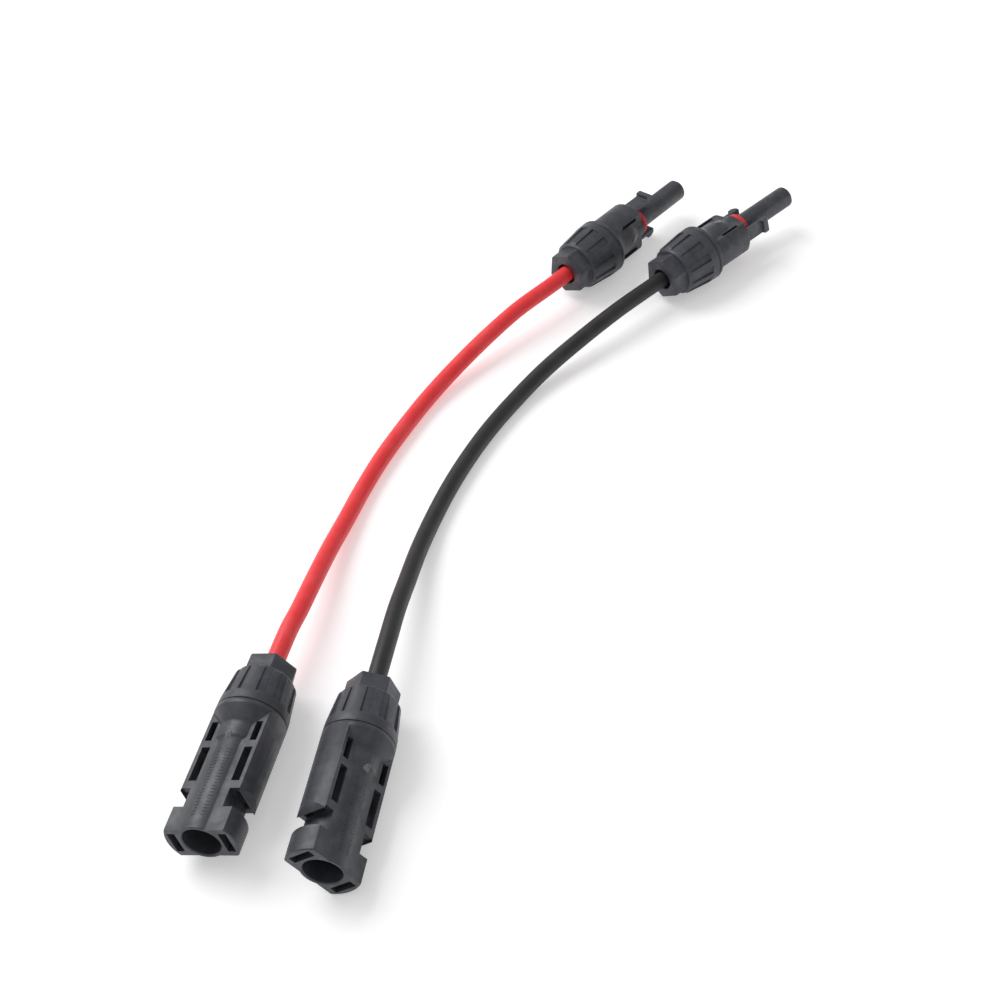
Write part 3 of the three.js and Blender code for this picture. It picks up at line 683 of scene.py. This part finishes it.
def bar_tree():
    """Sets a row of small bars along X, each with its own length across the row."""
    tree, given = new_tree("bars", ("Count", "Int"), ("Pitch", "Float"), ("Start", "Float"),
                           ("Seed", "Int"), ("Material", "Material"))
    points = add(tree, "GeometryNodePoints", {"Count": given["Count"]})
    index = add(tree, "GeometryNodeInputIndex")
    along = add(tree, "ShaderNodeMath", {0: index.outputs[0], 1: given["Pitch"],
                                         2: given["Start"]}, operation="MULTIPLY_ADD")
    spot = add(tree, "ShaderNodeCombineXYZ", {"X": along.outputs[0]})
    row = add(tree, "GeometryNodeSetPosition", {"Geometry": points.outputs[0],
                                                "Position": spot.outputs[0]})
    wide = add(tree, "FunctionNodeRandomValue", {"Min": 0.5, "Max": 1.25, "Seed": given["Seed"]},
               data_type="FLOAT")
    size = add(tree, "ShaderNodeCombineXYZ", {"X": wide.outputs[1], "Y": wide.outputs[1],
                                              "Z": 1.0})
    bars = add(tree, "GeometryNodeInstanceOnPoints", {
        "Points": row.outputs["Geometry"], "Instance": given["Geometry"],
        "Scale": size.outputs[0]})
    close_tree(tree, bars.outputs["Instances"], given["Material"])
    return tree


def relief_mesh():
    """The rows of both flat sides, lifted onto the barrel and sunk a little into it."""
    bar = hull_mesh([(i * x, k * y, z) for x, y, z in ((0.2, 0.55, -0.1), (0.13, 0.48, BAR_HEIGHT))
                     for k in (-1, 1) for i in (-1, 1)])
    bars = bar_tree()
    rows = bmesh.new()
    for seed, turn in enumerate((-BARS_LEAN, BARS_LEAN, 180 - BARS_LEAN, 180 + BARS_LEAN)):
        row = through_tree(bar.copy(), bars, {
            "Count": BAR_COUNT, "Pitch": BAR_PITCH, "Start": BARS_FROM, "Seed": seed,
            "Material": housing_plastic})
        row.transform(Matrix.Translation((0, 0, BARREL)))
        row.transform(Matrix.Rotation(math.radians(turn), 4, "X"))
        rows.from_mesh(row)
    return finished(rows, "relief", 25.0)


relief = relief_mesh()
for lead in LEADS:
    fitted(f"{lead}_receptacle_relief", relief, places[lead, "receptacle"], housing_plastic,
           f"{lead}_lead", "housing")

# ---- Plug housings ----------------------------------------------------------------------------
# One moulding: a flange, two curved wings that guard the latch arms, a dome between them, a seat
# for the sealing ring, and a long nose with two flats that holds the socket contact.
WING = 8.3
WING_SPLIT = 4.9
WING_SLOT_FROM, WING_SLOT_TO = 6.3, 13.3
WING_SLOT_INNER, WING_SLOT_OUTER = 5.05, 6.3
PLUG_SHOULDER = 16.0
ARM_INNER, ARM_OUTER, ARM_HALF = 5.75, 7.05, 2.25
ARM_ROOM = 0.3
NOSE, NOSE_FLAT, NOSE_TIP = 3.55, 3.15, 42.0
NOSE_FROM = 19.5               # where the round foot for the sealing ring ends


def plug_mesh():
    """The wings cut from a round, with the dome and nose added and their openings taken out."""
    wings = turned_mesh([(0, 0), (0, WING), (14.9, WING), (15.35, 8.22), (15.72, 7.98),
                         (15.93, 7.62), (16.0, 7.2), (PLUG_SHOULDER, 0)])
    core = turned_mesh([(-7.6, 0), (-7.6, 6.9), (-7.5, 7.05), (0, 7.05), (0, 9.3), (0.06, 9.42),
                        (0.2, RIM), (1.0, RIM), (1.2, 9.42), (2.5, 8.25), (2.9, 7.9),
                        (3.4, 7.5), (4.2, 7.1), (5.4, 6.85), (7.5, 6.72), (9.5, 6.6),
                        (10.6, 6.42), (11.6, 6.1), (12.6, 5.66), (13.2, 5.42), (13.8, 5.32),
                        (14.4, 5.3), (17.0, 5.3), (17.2, 5.1), (17.2, 0)])
    nose = turned_mesh([(16.2, 0), (16.2, 3.9), (NOSE_FROM, 3.9), (19.6, 3.9), (21.1, NOSE),
                        (NOSE_TIP - 0.55, NOSE), (NOSE_TIP - 0.25, NOSE - 0.1),
                        (NOSE_TIP - 0.06, NOSE - 0.28), (NOSE_TIP, NOSE - 0.5), (NOSE_TIP, 0)],
                       72)
    flat_nose = carved(nose, [
        ("DIFFERENCE", side_block(side, NOSE_FROM, 43, NOSE_FLAT, 9.5, 9.5)) for side in (1, -1)])
    steps = [("INTERSECT", block_mesh(-1, 17, -OUTSIDE, OUTSIDE, -WING_SPLIT, WING_SPLIT)),
             ("UNION", core)]
    for side in (1, -1):
        steps.append(("DIFFERENCE", side_block(side, 8.3, 20, ARM_INNER - 1.1,
                                               ARM_OUTER + ARM_ROOM, ARM_HALF + ARM_ROOM)))
        for top in (1, -1):
            steps.append(("DIFFERENCE", block_mesh(
                WING_SLOT_FROM, WING_SLOT_TO, side * WING_SLOT_INNER, side * WING_SLOT_OUTER,
                top * 2.2, top * 9.5)))
    steps.append(("UNION", flat_nose))
    steps.append(("DIFFERENCE", turned_mesh([(6.4, 0), (6.4, 2.75), (41.7, 2.75), (42.6, 3.65),
                                             (42.6, 0)], 48)))
    steps.append(("DIFFERENCE", turned_mesh([(-8.6, 0), (-8.6, SEAL_POCKET), (-2.6, SEAL_POCKET),
                                             (-2.6, 3.1), (11.6, 3.1), (11.6, 0)], 48)))
    return rounded(carved(wings, steps), MOULD_EDGE)


plug = plug_mesh()
for lead in LEADS:
    fitted(f"{lead}_plug_body", plug, places[lead, "plug"], housing_plastic,
           f"{lead}_lead", "housing", f"{lead}_plug_housing")

# ---- Latch arms -------------------------------------------------------------------------------
# Two spring leaves moulded with the plug housing, each with a wedge hook that snaps behind the
# receptacle's notch. Their broad faces are smoother, because the mould is polished there.
ARM_ROOT, ARM_TIP = 8.6, 25.8


def arm_mesh(side):
    """One leaf with its hook, from the root to the tip and back."""
    outline = [(ARM_ROOT, ARM_INNER), (ARM_TIP, ARM_INNER), (ARM_TIP, 7.0), (25.65, 7.3),
               (24.75, 8.1), (24.6, 8.15), (22.95, 8.15), (22.8, 8.0), (22.8, ARM_OUTER),
               (22.4, 6.95), (ARM_ROOT, ARM_OUTER)]
    shell = bmesh.new()
    low = [shell.verts.new((x, side * y, -ARM_HALF)) for x, y in outline]
    high = [shell.verts.new((x, side * y, ARM_HALF)) for x, y in outline]
    shell.faces.new(low)
    shell.faces.new(high)
    for k in range(len(outline)):
        n = (k + 1) % len(outline)
        shell.faces.new((low[k], low[n], high[n], high[k]))
    bmesh.ops.recalc_face_normals(shell, faces=shell.faces)
    mesh = bpy.data.meshes.new("arm")
    shell.to_mesh(mesh)
    shell.free()
    return rounded(mesh, 0.12, angle=30.0)


arm_plastic = moulded_material("polyphenylene_ether_latch", "#34363b", "#565961", 0.42, 0.2)
for lead in LEADS:
    for side, hand in ((1, "left"), (-1, "right")):
        fitted(f"{lead}_latch_{hand}", arm_mesh(side), places[lead, "plug"], arm_plastic,
               f"{lead}_latch_{hand}", "housing", f"{lead}_latch_arm_{hand}")

# ---- Gate marks -------------------------------------------------------------------------------
# Where the hot nozzle was torn off each housing: a low blister, polished by the flowing melt and
# stress-whitened, on the dome of the plug and on the saddle of the receptacle. Its pale grey is
# partly that whitening and partly a painted highlight.
GATES = {"receptacle": (10.1, 5.98, 0.72), "plug": (10.6, 6.38, 0.26)}    # x, height, slope


def gate_mesh(x, height, lean):
    """A flat irregular blister on one side of a housing, sunk a little into its slope."""
    sides, rings = 20, [(1.0, -0.12), (0.96, 0.02), (0.8, 0.12), (0.5, 0.2), (0.2, 0.16)]
    shell = bmesh.new()
    grid = []
    for share, lift in rings:
        ring = []
        for k in range(sides):
            angle = math.tau * k / sides
            reach = share * (1 + 0.18 * math.sin(2 * angle + 0.7) + 0.12 * math.sin(3 * angle))
            ahead = 1.3 * reach * math.cos(angle)
            ring.append(shell.verts.new((x + ahead, 1.1 * reach * math.sin(angle),
                                         height + lift - lean * ahead)))
        grid.append(ring)
    for ring, following in zip(grid, grid[1:]):
        for k in range(sides):
            n = (k + 1) % sides
            shell.faces.new((ring[k], ring[n], following[n], following[k]))
    shell.faces.new(grid[0])
    shell.faces.new(grid[-1])
    return finished(shell, "gate", sharp=70.0)


# the pale grey mixed into this finish is part stress-whitening, part a painted highlight on the
# blister
gate_whitening_and_painted_highlight = moulded_material("stress_whitened_gate_painted_highlight", "#3e3f44", "#a3a5ab", 0.24, 0.15)
for lead in LEADS:
    for end in ENDS:
        gates = bmesh.new()
        for side in (0, 1):
            one = gate_mesh(*GATES[end])
            one.transform(Matrix.Rotation(math.pi * side, 4, "X"))
            gates.from_mesh(one)
        fitted(f"{lead}_{end}_gate_marks", finished(gates, "gates", 70.0), places[lead, end],
               gate_whitening_and_painted_highlight, f"{lead}_lead", "housing")

# ---- Sealing rings ----------------------------------------------------------------------------
# A ring of red silicone rubber stretched over the foot of the nose. It closes the gap to the
# mating bore, and a fine flash line runs round it where the two halves of its mould met.
RING_PROFILE = [(17.35, 3.98), (17.35, 4.46), (17.4, 4.62), (17.5, 4.75), (17.64, 4.85),
                (17.82, 4.9), (18.29, 4.9), (18.33, 4.93), (18.37, 4.93), (18.41, 4.9),
                (18.88, 4.9), (19.06, 4.85), (19.2, 4.75), (19.3, 4.62), (19.35, 4.46),
                (19.35, 3.98), (18.35, 3.95)]


def rubber_material(name, colour, dust, roughness):
    """Moulded silicone rubber: matte and a little soft to light, with dust that static holds."""
    material = bpy.data.materials.new(name)
    material.use_nodes = True
    tree = material.node_tree
    surface = tree.nodes["Principled BSDF"]
    place = add(tree, "ShaderNodeTexCoord").outputs["Object"]
    # a bead-blasted mould leaves dimples about 0.1 mm across, drawn near 0.25 mm
    dimples = add(tree, "ShaderNodeTexVoronoi", {"Vector": place, "Scale": 4000.0})
    cloud = add(tree, "ShaderNodeTexNoise", {"Vector": place, "Scale": 600.0, "Detail": 6.0,
                                             "Roughness": 0.7})
    dusty = add(tree, "ShaderNodeMapRange", {"Value": cloud.outputs["Fac"], "From Min": 0.5,
                                             "From Max": 0.75, "To Min": 0.0, "To Max": 0.5})
    tint = add(tree, "ShaderNodeMix", {"Factor": dusty.outputs["Result"], "A": linear(colour),
                                       "B": linear(dust)}, data_type="RGBA")
    rough = add(tree, "ShaderNodeMapRange", {"Value": cloud.outputs["Fac"], "From Min": 0.3,
                                             "From Max": 0.7, "To Min": roughness - 0.05,
                                             "To Max": roughness + 0.12})
    bump = add(tree, "ShaderNodeBump", {"Height": dimples.outputs["Distance"], "Strength": 0.3,
                                        "Distance": 0.00003})
    tree.links.new(tint.outputs["Result"], surface.inputs["Base Color"])
    tree.links.new(rough.outputs["Result"], surface.inputs["Roughness"])
    tree.links.new(bump.outputs["Normal"], surface.inputs["Normal"])
    surface.inputs["IOR"].default_value = 1.42
    return material


def turned_ring(profile, sides, sharp=35.0):
    """A ring turned about X from a closed loop of (x, radius) pairs."""
    return finished(ringed([circle_ring(x, r, sides) for x, r in profile]), "ring", sharp)


red_silicone = rubber_material("red_silicone_sealing_ring", "#cf2833", "#e08288", 0.5)
sealing_ring = turned_ring(RING_PROFILE, 96, 60.0)
for lead in LEADS:
    fitted(f"{lead}_nose_ring", sealing_ring, places[lead, "plug"], red_silicone,
           f"{lead}_lead", "sealing_ring", f"{lead}_sealing_ring")

# ---- Cable seals ------------------------------------------------------------------------------
# A sleeve of black silicone rubber round the jacket in each coupler. Its tapered tail is squeezed
# by the clamp cage, and three soft ribs grip the wall of its pocket.
SEAL_BACK, SEAL_FRONT = -12.8, -2.9
SEAL_BORE = 2.85
SEAL_WAIST, SEAL_RIB = 5.3, 5.5


def seal_profile():
    """The tail, then three rounded ribs along the sleeve, then back along the bore."""
    outline = [(SEAL_BACK, SEAL_BORE), (SEAL_BACK, SEAL_BORE + 0.5), (-10.5, 5.1)]
    steps = 36
    for i in range(steps + 1):
        x = -10.0 + (SEAL_FRONT - 0.2 + 10.0) * i / steps
        swell = 0.5 - 0.5 * math.cos(math.tau * 3 * i / steps)
        outline.append((x, SEAL_WAIST + (SEAL_RIB - SEAL_WAIST) * swell))
    return [*outline, (SEAL_FRONT, SEAL_WAIST - 0.2), (SEAL_FRONT, SEAL_BORE)]


black_silicone = rubber_material("black_silicone_cable_seal", "#1b1b1d", "#414144", 0.6)
cable_seal = turned_ring(seal_profile(), 64)
for lead in LEADS:
    for end in ENDS:
        fitted(f"{lead}_{end}_gland_seal", cable_seal, places[lead, end], black_silicone,
               f"{lead}_lead", "cable_seal", f"{lead}_{end}_cable_seal")

# ---- Clamp cages ------------------------------------------------------------------------------
# A basket of natural polyamide with eight sprung fingers. The cone inside the gland nut closes
# them on the seal's tail and the jacket as the nut is screwed up.
CAGE_FINGERS = 8
FINGER_HALF = math.radians(18.0)
CAGE_OUTLINE = [(-14.0, 2.95), (-14.0, 3.6), (-13.85, 3.85), (-13.7, 3.98), (-10.75, 7.05),
                (-10.6, 7.15), (-10.4, 7.2), (-9.7, 7.2), (-9.7, 6.1), (-10.2, 6.1)]
CAGE_RING = [(-9.7, 6.1), (-9.7, 7.2), (-8.05, 7.2), (-7.9, 7.05), (-7.9, 6.25), (-8.05, 6.1)]


def sector_mesh(outline, half, steps=10):
    """A closed wedge: an outline of (x, radius) pairs swept between two angles about X."""
    shell = bmesh.new()
    rings = []
    for i in range(steps + 1):
        angle = half * (2 * i / steps - 1)
        rings.append([shell.verts.new((x, r * math.cos(angle), r * math.sin(angle)))
                      for x, r in outline])
    for ring, following in zip(rings, rings[1:]):
        for k in range(len(outline)):
            n = (k + 1) % len(outline)
            shell.faces.new((ring[k], ring[n], following[n], following[k]))
    shell.faces.new(rings[0])
    shell.faces.new(rings[-1])
    return finished(shell, "sector", 30.0)


def around_tree():
    """Repeats a piece about X, as often as Count says."""
    tree, given = new_tree("around", ("Count", "Int"), ("Start", "Float"), ("Material", "Material"))
    centre = add(tree, "GeometryNodePoints", {"Count": given["Count"]})
    index = add(tree, "GeometryNodeInputIndex")
    pitch = add(tree, "ShaderNodeMath", {0: math.tau, 1: given["Count"]}, operation="DIVIDE")
    angle = add(tree, "ShaderNodeMath", {0: index.outputs[0], 1: pitch.outputs[0],
                                         2: given["Start"]}, operation="MULTIPLY_ADD")
    about = add(tree, "ShaderNodeCombineXYZ", {"X": angle.outputs[0]})
    turn = add(tree, "FunctionNodeEulerToRotation", {"Euler": about.outputs[0]})
    copies = add(tree, "GeometryNodeInstanceOnPoints", {
        "Points": centre.outputs[0], "Instance": given["Geometry"],
        "Rotation": turn.outputs[0]})
    close_tree(tree, copies.outputs["Instances"], given["Material"])
    return tree


def joined(*meshes):
    """Several meshes as one."""
    shell = bmesh.new()
    for mesh in meshes:
        shell.from_mesh(mesh)
    made = bpy.data.meshes.new("joined")
    shell.to_mesh(made)
    shell.free()
    made.set_sharp_from_angle(angle=math.radians(30))
    return made


around = around_tree()
cage_nylon = moulded_material("natural_polyamide_cage", "#c9c4b4", "#e2dfd4", 0.45, 0.2)
cage_surface = cage_nylon.node_tree.nodes["Principled BSDF"]
cage_surface.inputs["Subsurface Weight"].default_value = 0.15
cage_surface.inputs["Subsurface Scale"].default_value = 0.001
fingers = through_tree(sector_mesh(CAGE_OUTLINE, FINGER_HALF), around, {
    "Count": CAGE_FINGERS, "Start": 0.0, "Material": cage_nylon})
cage = joined(fingers, turned_ring(CAGE_RING, 80))
for lead in LEADS:
    for end in ENDS:
        fitted(f"{lead}_{end}_cage", cage, places[lead, end], cage_nylon,
               f"{lead}_{end}_cage", "clamp_cage", f"{lead}_{end}_clamp_cage")

# ---- Contacts ---------------------------------------------------------------------------------
# Turned copper, tin plated: a crimp barrel pressed to a hexagon on the conductor, a collar and a
# neck for the clip, then a solid pin, or a socket slit so that it springs.
CRIMP_PRESS = (-2.4, 1.2)      # stretch that the crimping tool has pressed
CRIMP_FLAT = 2.08
CONTACT_SIDES = 72
SOCKET_SLIT = (31.2, 0.3)      # where the slit starts, and half its width


def contact_rings(outline, inner):
    """Rings of a turned contact, from the crimp's mouth forward, then back down its bore."""
    rings = []
    for x, r in [*outline, *inner]:
        ring = []
        for k in range(CONTACT_SIDES):
            angle = math.tau * k / CONTACT_SIDES
            pressed = r
            if CRIMP_PRESS[0] <= x <= CRIMP_PRESS[1] and r > CRIMP_FLAT:
                within = (angle + math.pi / 6) % (math.pi / 3) - math.pi / 6
                pressed = min(r, CRIMP_FLAT / math.cos(within))
            ring.append((x, pressed * math.cos(angle), pressed * math.sin(angle)))
        rings.append(ring)
    return rings


def unwrapped(mesh):
    """Adds the UV map "turned": millimetres round the axis and along it."""
    unwrap = mesh.uv_layers.new(name="turned")
    for polygon in mesh.polygons:
        first = None
        for loop in polygon.loop_indices:
            x, y, z = mesh.vertices[mesh.loops[loop].vertex_index].co
            angle = math.atan2(z, y)
            first = angle if first is None else first
            angle += math.tau * round((first - angle) / math.tau)
            unwrap.data[loop].uv = (2.0 * angle, x)
    return mesh


def metal_material(name, colour, tarnish, roughness, marks):
    """Bare metal with fine marks round it from turning or drawing, and patches of dull tarnish."""
    material = bpy.data.materials.new(name)
    material.use_nodes = True
    tree = material.node_tree
    surface = tree.nodes["Principled BSDF"]
    round_it = add(tree, "ShaderNodeUVMap", uv_map="turned").outputs["UV"]
    place = add(tree, "ShaderNodeTexCoord").outputs["Object"]
    # tool marks are about 0.05 mm apart, drawn near 0.15 mm
    stretched = add(tree, "ShaderNodeMapping", {"Vector": round_it, "Scale": (0.35, 7.0, 1.0)})
    rings = add(tree, "ShaderNodeTexNoise", {"Vector": stretched.outputs["Vector"],
                                             "Scale": 1.0, "Detail": 3.0})
    cloud = add(tree, "ShaderNodeTexNoise", {"Vector": place, "Scale": 500.0, "Detail": 4.0})
    dull = add(tree, "ShaderNodeMapRange", {"Value": cloud.outputs["Fac"], "From Min": 0.45,
                                            "From Max": 0.7, "To Min": 0.0, "To Max": 0.6})
    tint = add(tree, "ShaderNodeMix", {"Factor": dull.outputs["Result"], "A": linear(colour),
                                       "B": linear(tarnish)}, data_type="RGBA")
    rough = add(tree, "ShaderNodeMapRange", {"Value": cloud.outputs["Fac"], "From Min": 0.3,
                                             "From Max": 0.7, "To Min": roughness - 0.05,
                                             "To Max": roughness + 0.15})
    bump = add(tree, "ShaderNodeBump", {"Height": rings.outputs["Fac"], "Strength": marks,
                                        "Distance": 0.00002})
    tree.links.new(tint.outputs["Result"], surface.inputs["Base Color"])
    tree.links.new(rough.outputs["Result"], surface.inputs["Roughness"])
    tree.links.new(bump.outputs["Normal"], surface.inputs["Normal"])
    surface.inputs["Metallic"].default_value = 1.0
    return material


crimp = [(-3.6, 1.7), (-3.6, 2.1), (-3.45, 2.25), (-2.55, 2.25), (-2.4, 2.25), (-2.2, 2.25),
         (1.0, 2.25), (1.2, 2.25), (1.35, 2.25), (5.4, 2.25), (5.4, 2.6), (5.5, 2.75),
         (6.6, 2.75), (6.7, 2.65), (6.7, 2.0), (10.9, 2.0)]
crimp_bore = [(2.6, 0.0), (2.6, 1.55), (2.5, 1.65), (-3.5, 1.65)]
pin_front = [(10.9, 2.65), (11.0, 2.75), (12.1, 2.75), (12.4, 2.6), (13.0, 2.0), (28.0, 2.0),
             (28.6, 1.93), (29.3, 1.65), (29.9, 1.2), (30.25, 0.75), (30.4, 0.3), (30.4, 0.0)]
socket_front = [(10.9, 2.3), (11.0, 2.4), (39.9, 2.4), (40.1, 2.34), (40.2, 2.24), (40.2, 2.14),
                (40.05, 2.02), (21.2, 2.02), (21.0, 1.8), (21.0, 0.0)]
tinned = metal_material("tin_plated_turned_copper", "#c7c8c6", "#9a9b98", 0.28, 0.4)
pin = finished(ringed(contact_rings([*crimp, *pin_front], crimp_bore)), "pin", 32)
socket = finished(ringed(contact_rings([*crimp, *socket_front], crimp_bore)), "socket", 32)
slit_from, slit_half = SOCKET_SLIT
socket = carved(socket, [("DIFFERENCE", block_mesh(slit_from, 41, -4, 4, -slit_half, slit_half))])
socket.set_sharp_from_angle(angle=math.radians(32))
for lead in LEADS:
    fitted(f"{lead}_contact_pin", unwrapped(pin.copy()), places[lead, "receptacle"], tinned,
           f"{lead}_lead", "contact", f"{lead}_pin_contact")
    fitted(f"{lead}_contact_socket", unwrapped(socket.copy()), places[lead, "plug"], tinned,
           f"{lead}_lead", "contact", f"{lead}_socket_contact")

# ---- Clips and contact springs ----------------------------------------------------------------
# Stamped and rolled stainless spring steel: a split clip round each contact's neck, with three
# tangs that catch in the housing, and a cage of bowed leaves that grips the pin in the socket.
CLIP_GAP = math.radians(20.0)
CLIP_TANGS = 3
LEAF_COUNT = 10
BAND_INNER, BAND_OUTER, BAND_WIDTH = 1.55, 1.7, 0.6
spring_steel = metal_material("rolled_stainless_spring_steel", "#b9bbbd", "#8f9193", 0.3, 0.5)


def clip_mesh():
    """The rolled strip, with its gap upwards, then the tangs sprung out of it."""
    strip = sector_mesh([(7.0, 2.32), (7.0, 2.52), (7.06, 2.58), (10.54, 2.58), (10.6, 2.52),
                         (10.6, 2.32)], math.pi - CLIP_GAP, 60)
    strip.transform(Matrix.Rotation(-math.pi / 2, 4, "X"))
    tang = sector_mesh([(7.5, 2.5), (7.5, 2.58), (9.9, 3.0), (10.0, 2.92)], math.radians(16), 6)
    tangs = through_tree(tang, around, {"Count": CLIP_TANGS, "Start": math.radians(30),
                                        "Material": spring_steel})
    return joined(strip, tangs)


clip = clip_mesh()
leaf = sector_mesh([(22.6, 1.55), (22.6, 1.7), (24.0, 1.6), (25.5, 1.5), (27.0, 1.6),
                    (28.4, 1.7), (28.4, 1.55), (27.0, 1.45), (25.5, 1.36), (24.0, 1.45)],
                   math.radians(13), 4)
leaves = through_tree(leaf, around, {"Count": LEAF_COUNT, "Start": 0.0,
                                     "Material": spring_steel})
bands = [turned_ring([(x, BAND_INNER), (x, BAND_OUTER), (x + BAND_WIDTH, BAND_OUTER),
                      (x + BAND_WIDTH, BAND_INNER)], 48) for x in (22.0, 28.4)]
contact_spring = joined(leaves, *bands)
for lead in LEADS:
    for end, node in (("receptacle", "pin_clip"), ("plug", "socket_clip")):
        fitted(f"{lead}_{end}_clip", unwrapped(clip.copy()), places[lead, end], spring_steel,
               f"{lead}_lead", "spring", f"{lead}_{node}")
    fitted(f"{lead}_leaf_spring", unwrapped(contact_spring.copy()), places[lead, "plug"],
           spring_steel, f"{lead}_lead", "spring", f"{lead}_contact_spring")

# ---- Conductors -------------------------------------------------------------------------------
# Fine tinned copper wires bunched and twisted, four square millimetres in all. They are drawn here
# as seven thicker strands that twist once every 30 mm, from one crimp barrel to the other.
CONDUCTOR_START = 1.8
CONDUCTOR_STEPS = 12
STRAND_RADIUS = 0.00044
STRAND_LAY = 0.03


def strand_tree():
    """Sweeps a bundle of round strands along a line, turning as it goes."""
    tree, given = new_tree("strands", ("Radius", "Float"), ("Turns", "Float"),
                           ("Material", "Material"))
    line = add(tree, "GeometryNodeMeshToCurve", {"Mesh": given["Geometry"]})
    share = add(tree, "GeometryNodeSplineParameter")
    full = add(tree, "ShaderNodeMath", {0: given["Turns"], 1: math.tau}, operation="MULTIPLY")
    tilt = add(tree, "ShaderNodeMath", {0: share.outputs["Factor"], 1: full.outputs[0]},
               operation="MULTIPLY")
    tilted = add(tree, "GeometryNodeSetCurveTilt", {"Curve": line.outputs["Curve"],
                                                    "Tilt": tilt.outputs[0]})
    apart = add(tree, "ShaderNodeMath", {0: given["Radius"], 1: 2.0}, operation="MULTIPLY")
    layer = add(tree, "GeometryNodeCurvePrimitiveCircle", {"Resolution": 6,
                                                           "Radius": apart.outputs[0]})
    strand = add(tree, "GeometryNodeCurvePrimitiveCircle", {"Resolution": 8,
                                                            "Radius": given["Radius"]})
    bundle = add(tree, "GeometryNodeInstanceOnPoints", {"Points": layer.outputs["Curve"],
                                                        "Instance": strand.outputs["Curve"]})
    section = add(tree, "GeometryNodeJoinGeometry", {"Geometry": bundle.outputs["Instances"]})
    tree.links.new(strand.outputs["Curve"], section.inputs["Geometry"])
    whole = add(tree, "GeometryNodeRealizeInstances", {"Geometry": section.outputs["Geometry"]})
    swept = add(tree, "GeometryNodeCurveToMesh", {
        "Curve": tilted.outputs["Curve"], "Profile Curve": whole.outputs["Geometry"],
        "Fill Caps": True})
    close_tree(tree, swept.outputs["Mesh"], given["Material"])
    return tree


strands = strand_tree()
tinned_wire = metal_material("tinned_stranded_copper", "#c9b8a6", "#a98f78", 0.32, 0.2)
for lead in LEADS:
    near, far = places[lead, "receptacle"], places[lead, "plug"]
    stations = (CONDUCTOR_START, JACKET_START, (JACKET_START + JACKET_STRAIGHT) / 2,
                JACKET_STRAIGHT)
    route = smooth_route([*(near @ Vector((x, 0, 0)) for x in stations),
                          *map(Vector, JACKET_LAYS[lead]),
                          *(far @ Vector((x, 0, 0)) for x in reversed(stations))],
                         CONDUCTOR_STEPS)
    line = bpy.data.meshes.new("line")
    line.from_pydata(route, [(i, i + 1) for i in range(len(route) - 1)], [])
    wires = through_tree(line, strands, {"Radius": STRAND_RADIUS, "Material": tinned_wire,
                                         "Turns": JACKET_LENGTHS[lead] / STRAND_LAY})
    fitted(f"{lead}_stranded_wire", unwrapped(wires), Matrix.Identity(4), tinned_wire,
           f"{lead}_lead", "conductor", f"{lead}_cable_conductor")

# ---- Floor and light --------------------------------------------------------------------------
# A pale light table, faintly lit from below so that shadows stay light, in a bright room with one
# large soft light from behind on the left.
floor_material = bpy.data.materials.new("white_table")
floor_material.use_nodes = True
floor_surface = floor_material.node_tree.nodes["Principled BSDF"]
floor_surface.inputs["Base Color"].default_value = linear("#f1f1f2")
floor_surface.inputs["Roughness"].default_value = 0.9
floor_surface.inputs["Specular IOR Level"].default_value = 0.1
floor_surface.inputs["Emission Color"].default_value = (1.0, 1.0, 1.0, 1.0)
floor_surface.inputs["Emission Strength"].default_value = 0.34
floor = shown("floor", bpy.data.meshes.new("floor"))
floor.data.from_pydata([(-3, -3, 0), (3, -3, 0), (3, 3, 0), (-3, 3, 0)], [], [(0, 1, 2, 3)])
floor.data.materials.append(floor_material)

room = bpy.data.worlds.new("room")
room.use_nodes = True
backdrop = room.node_tree.nodes["Background"]
backdrop.inputs["Color"].default_value = (1.0, 1.0, 1.0, 1.0)
backdrop.inputs["Strength"].default_value = 0.5
bpy.context.scene.world = room
bpy.context.scene.view_settings.view_transform = "Standard"


def soft_light(name, place, aim, size, power):
    """A square area light that faces a point."""
    light = bpy.data.objects.new(name, bpy.data.lights.new(name, "AREA"))
    bpy.context.scene.collection.objects.link(light)
    light.data.size, light.data.energy = size, power
    light.location = place
    light.rotation_euler = (Vector(aim) - Vector(place)).to_track_quat("-Z", "Y").to_euler()


soft_light("key", (-0.8, 0.6, 1.05), (0, 0, 0), 1.0, 15.0)
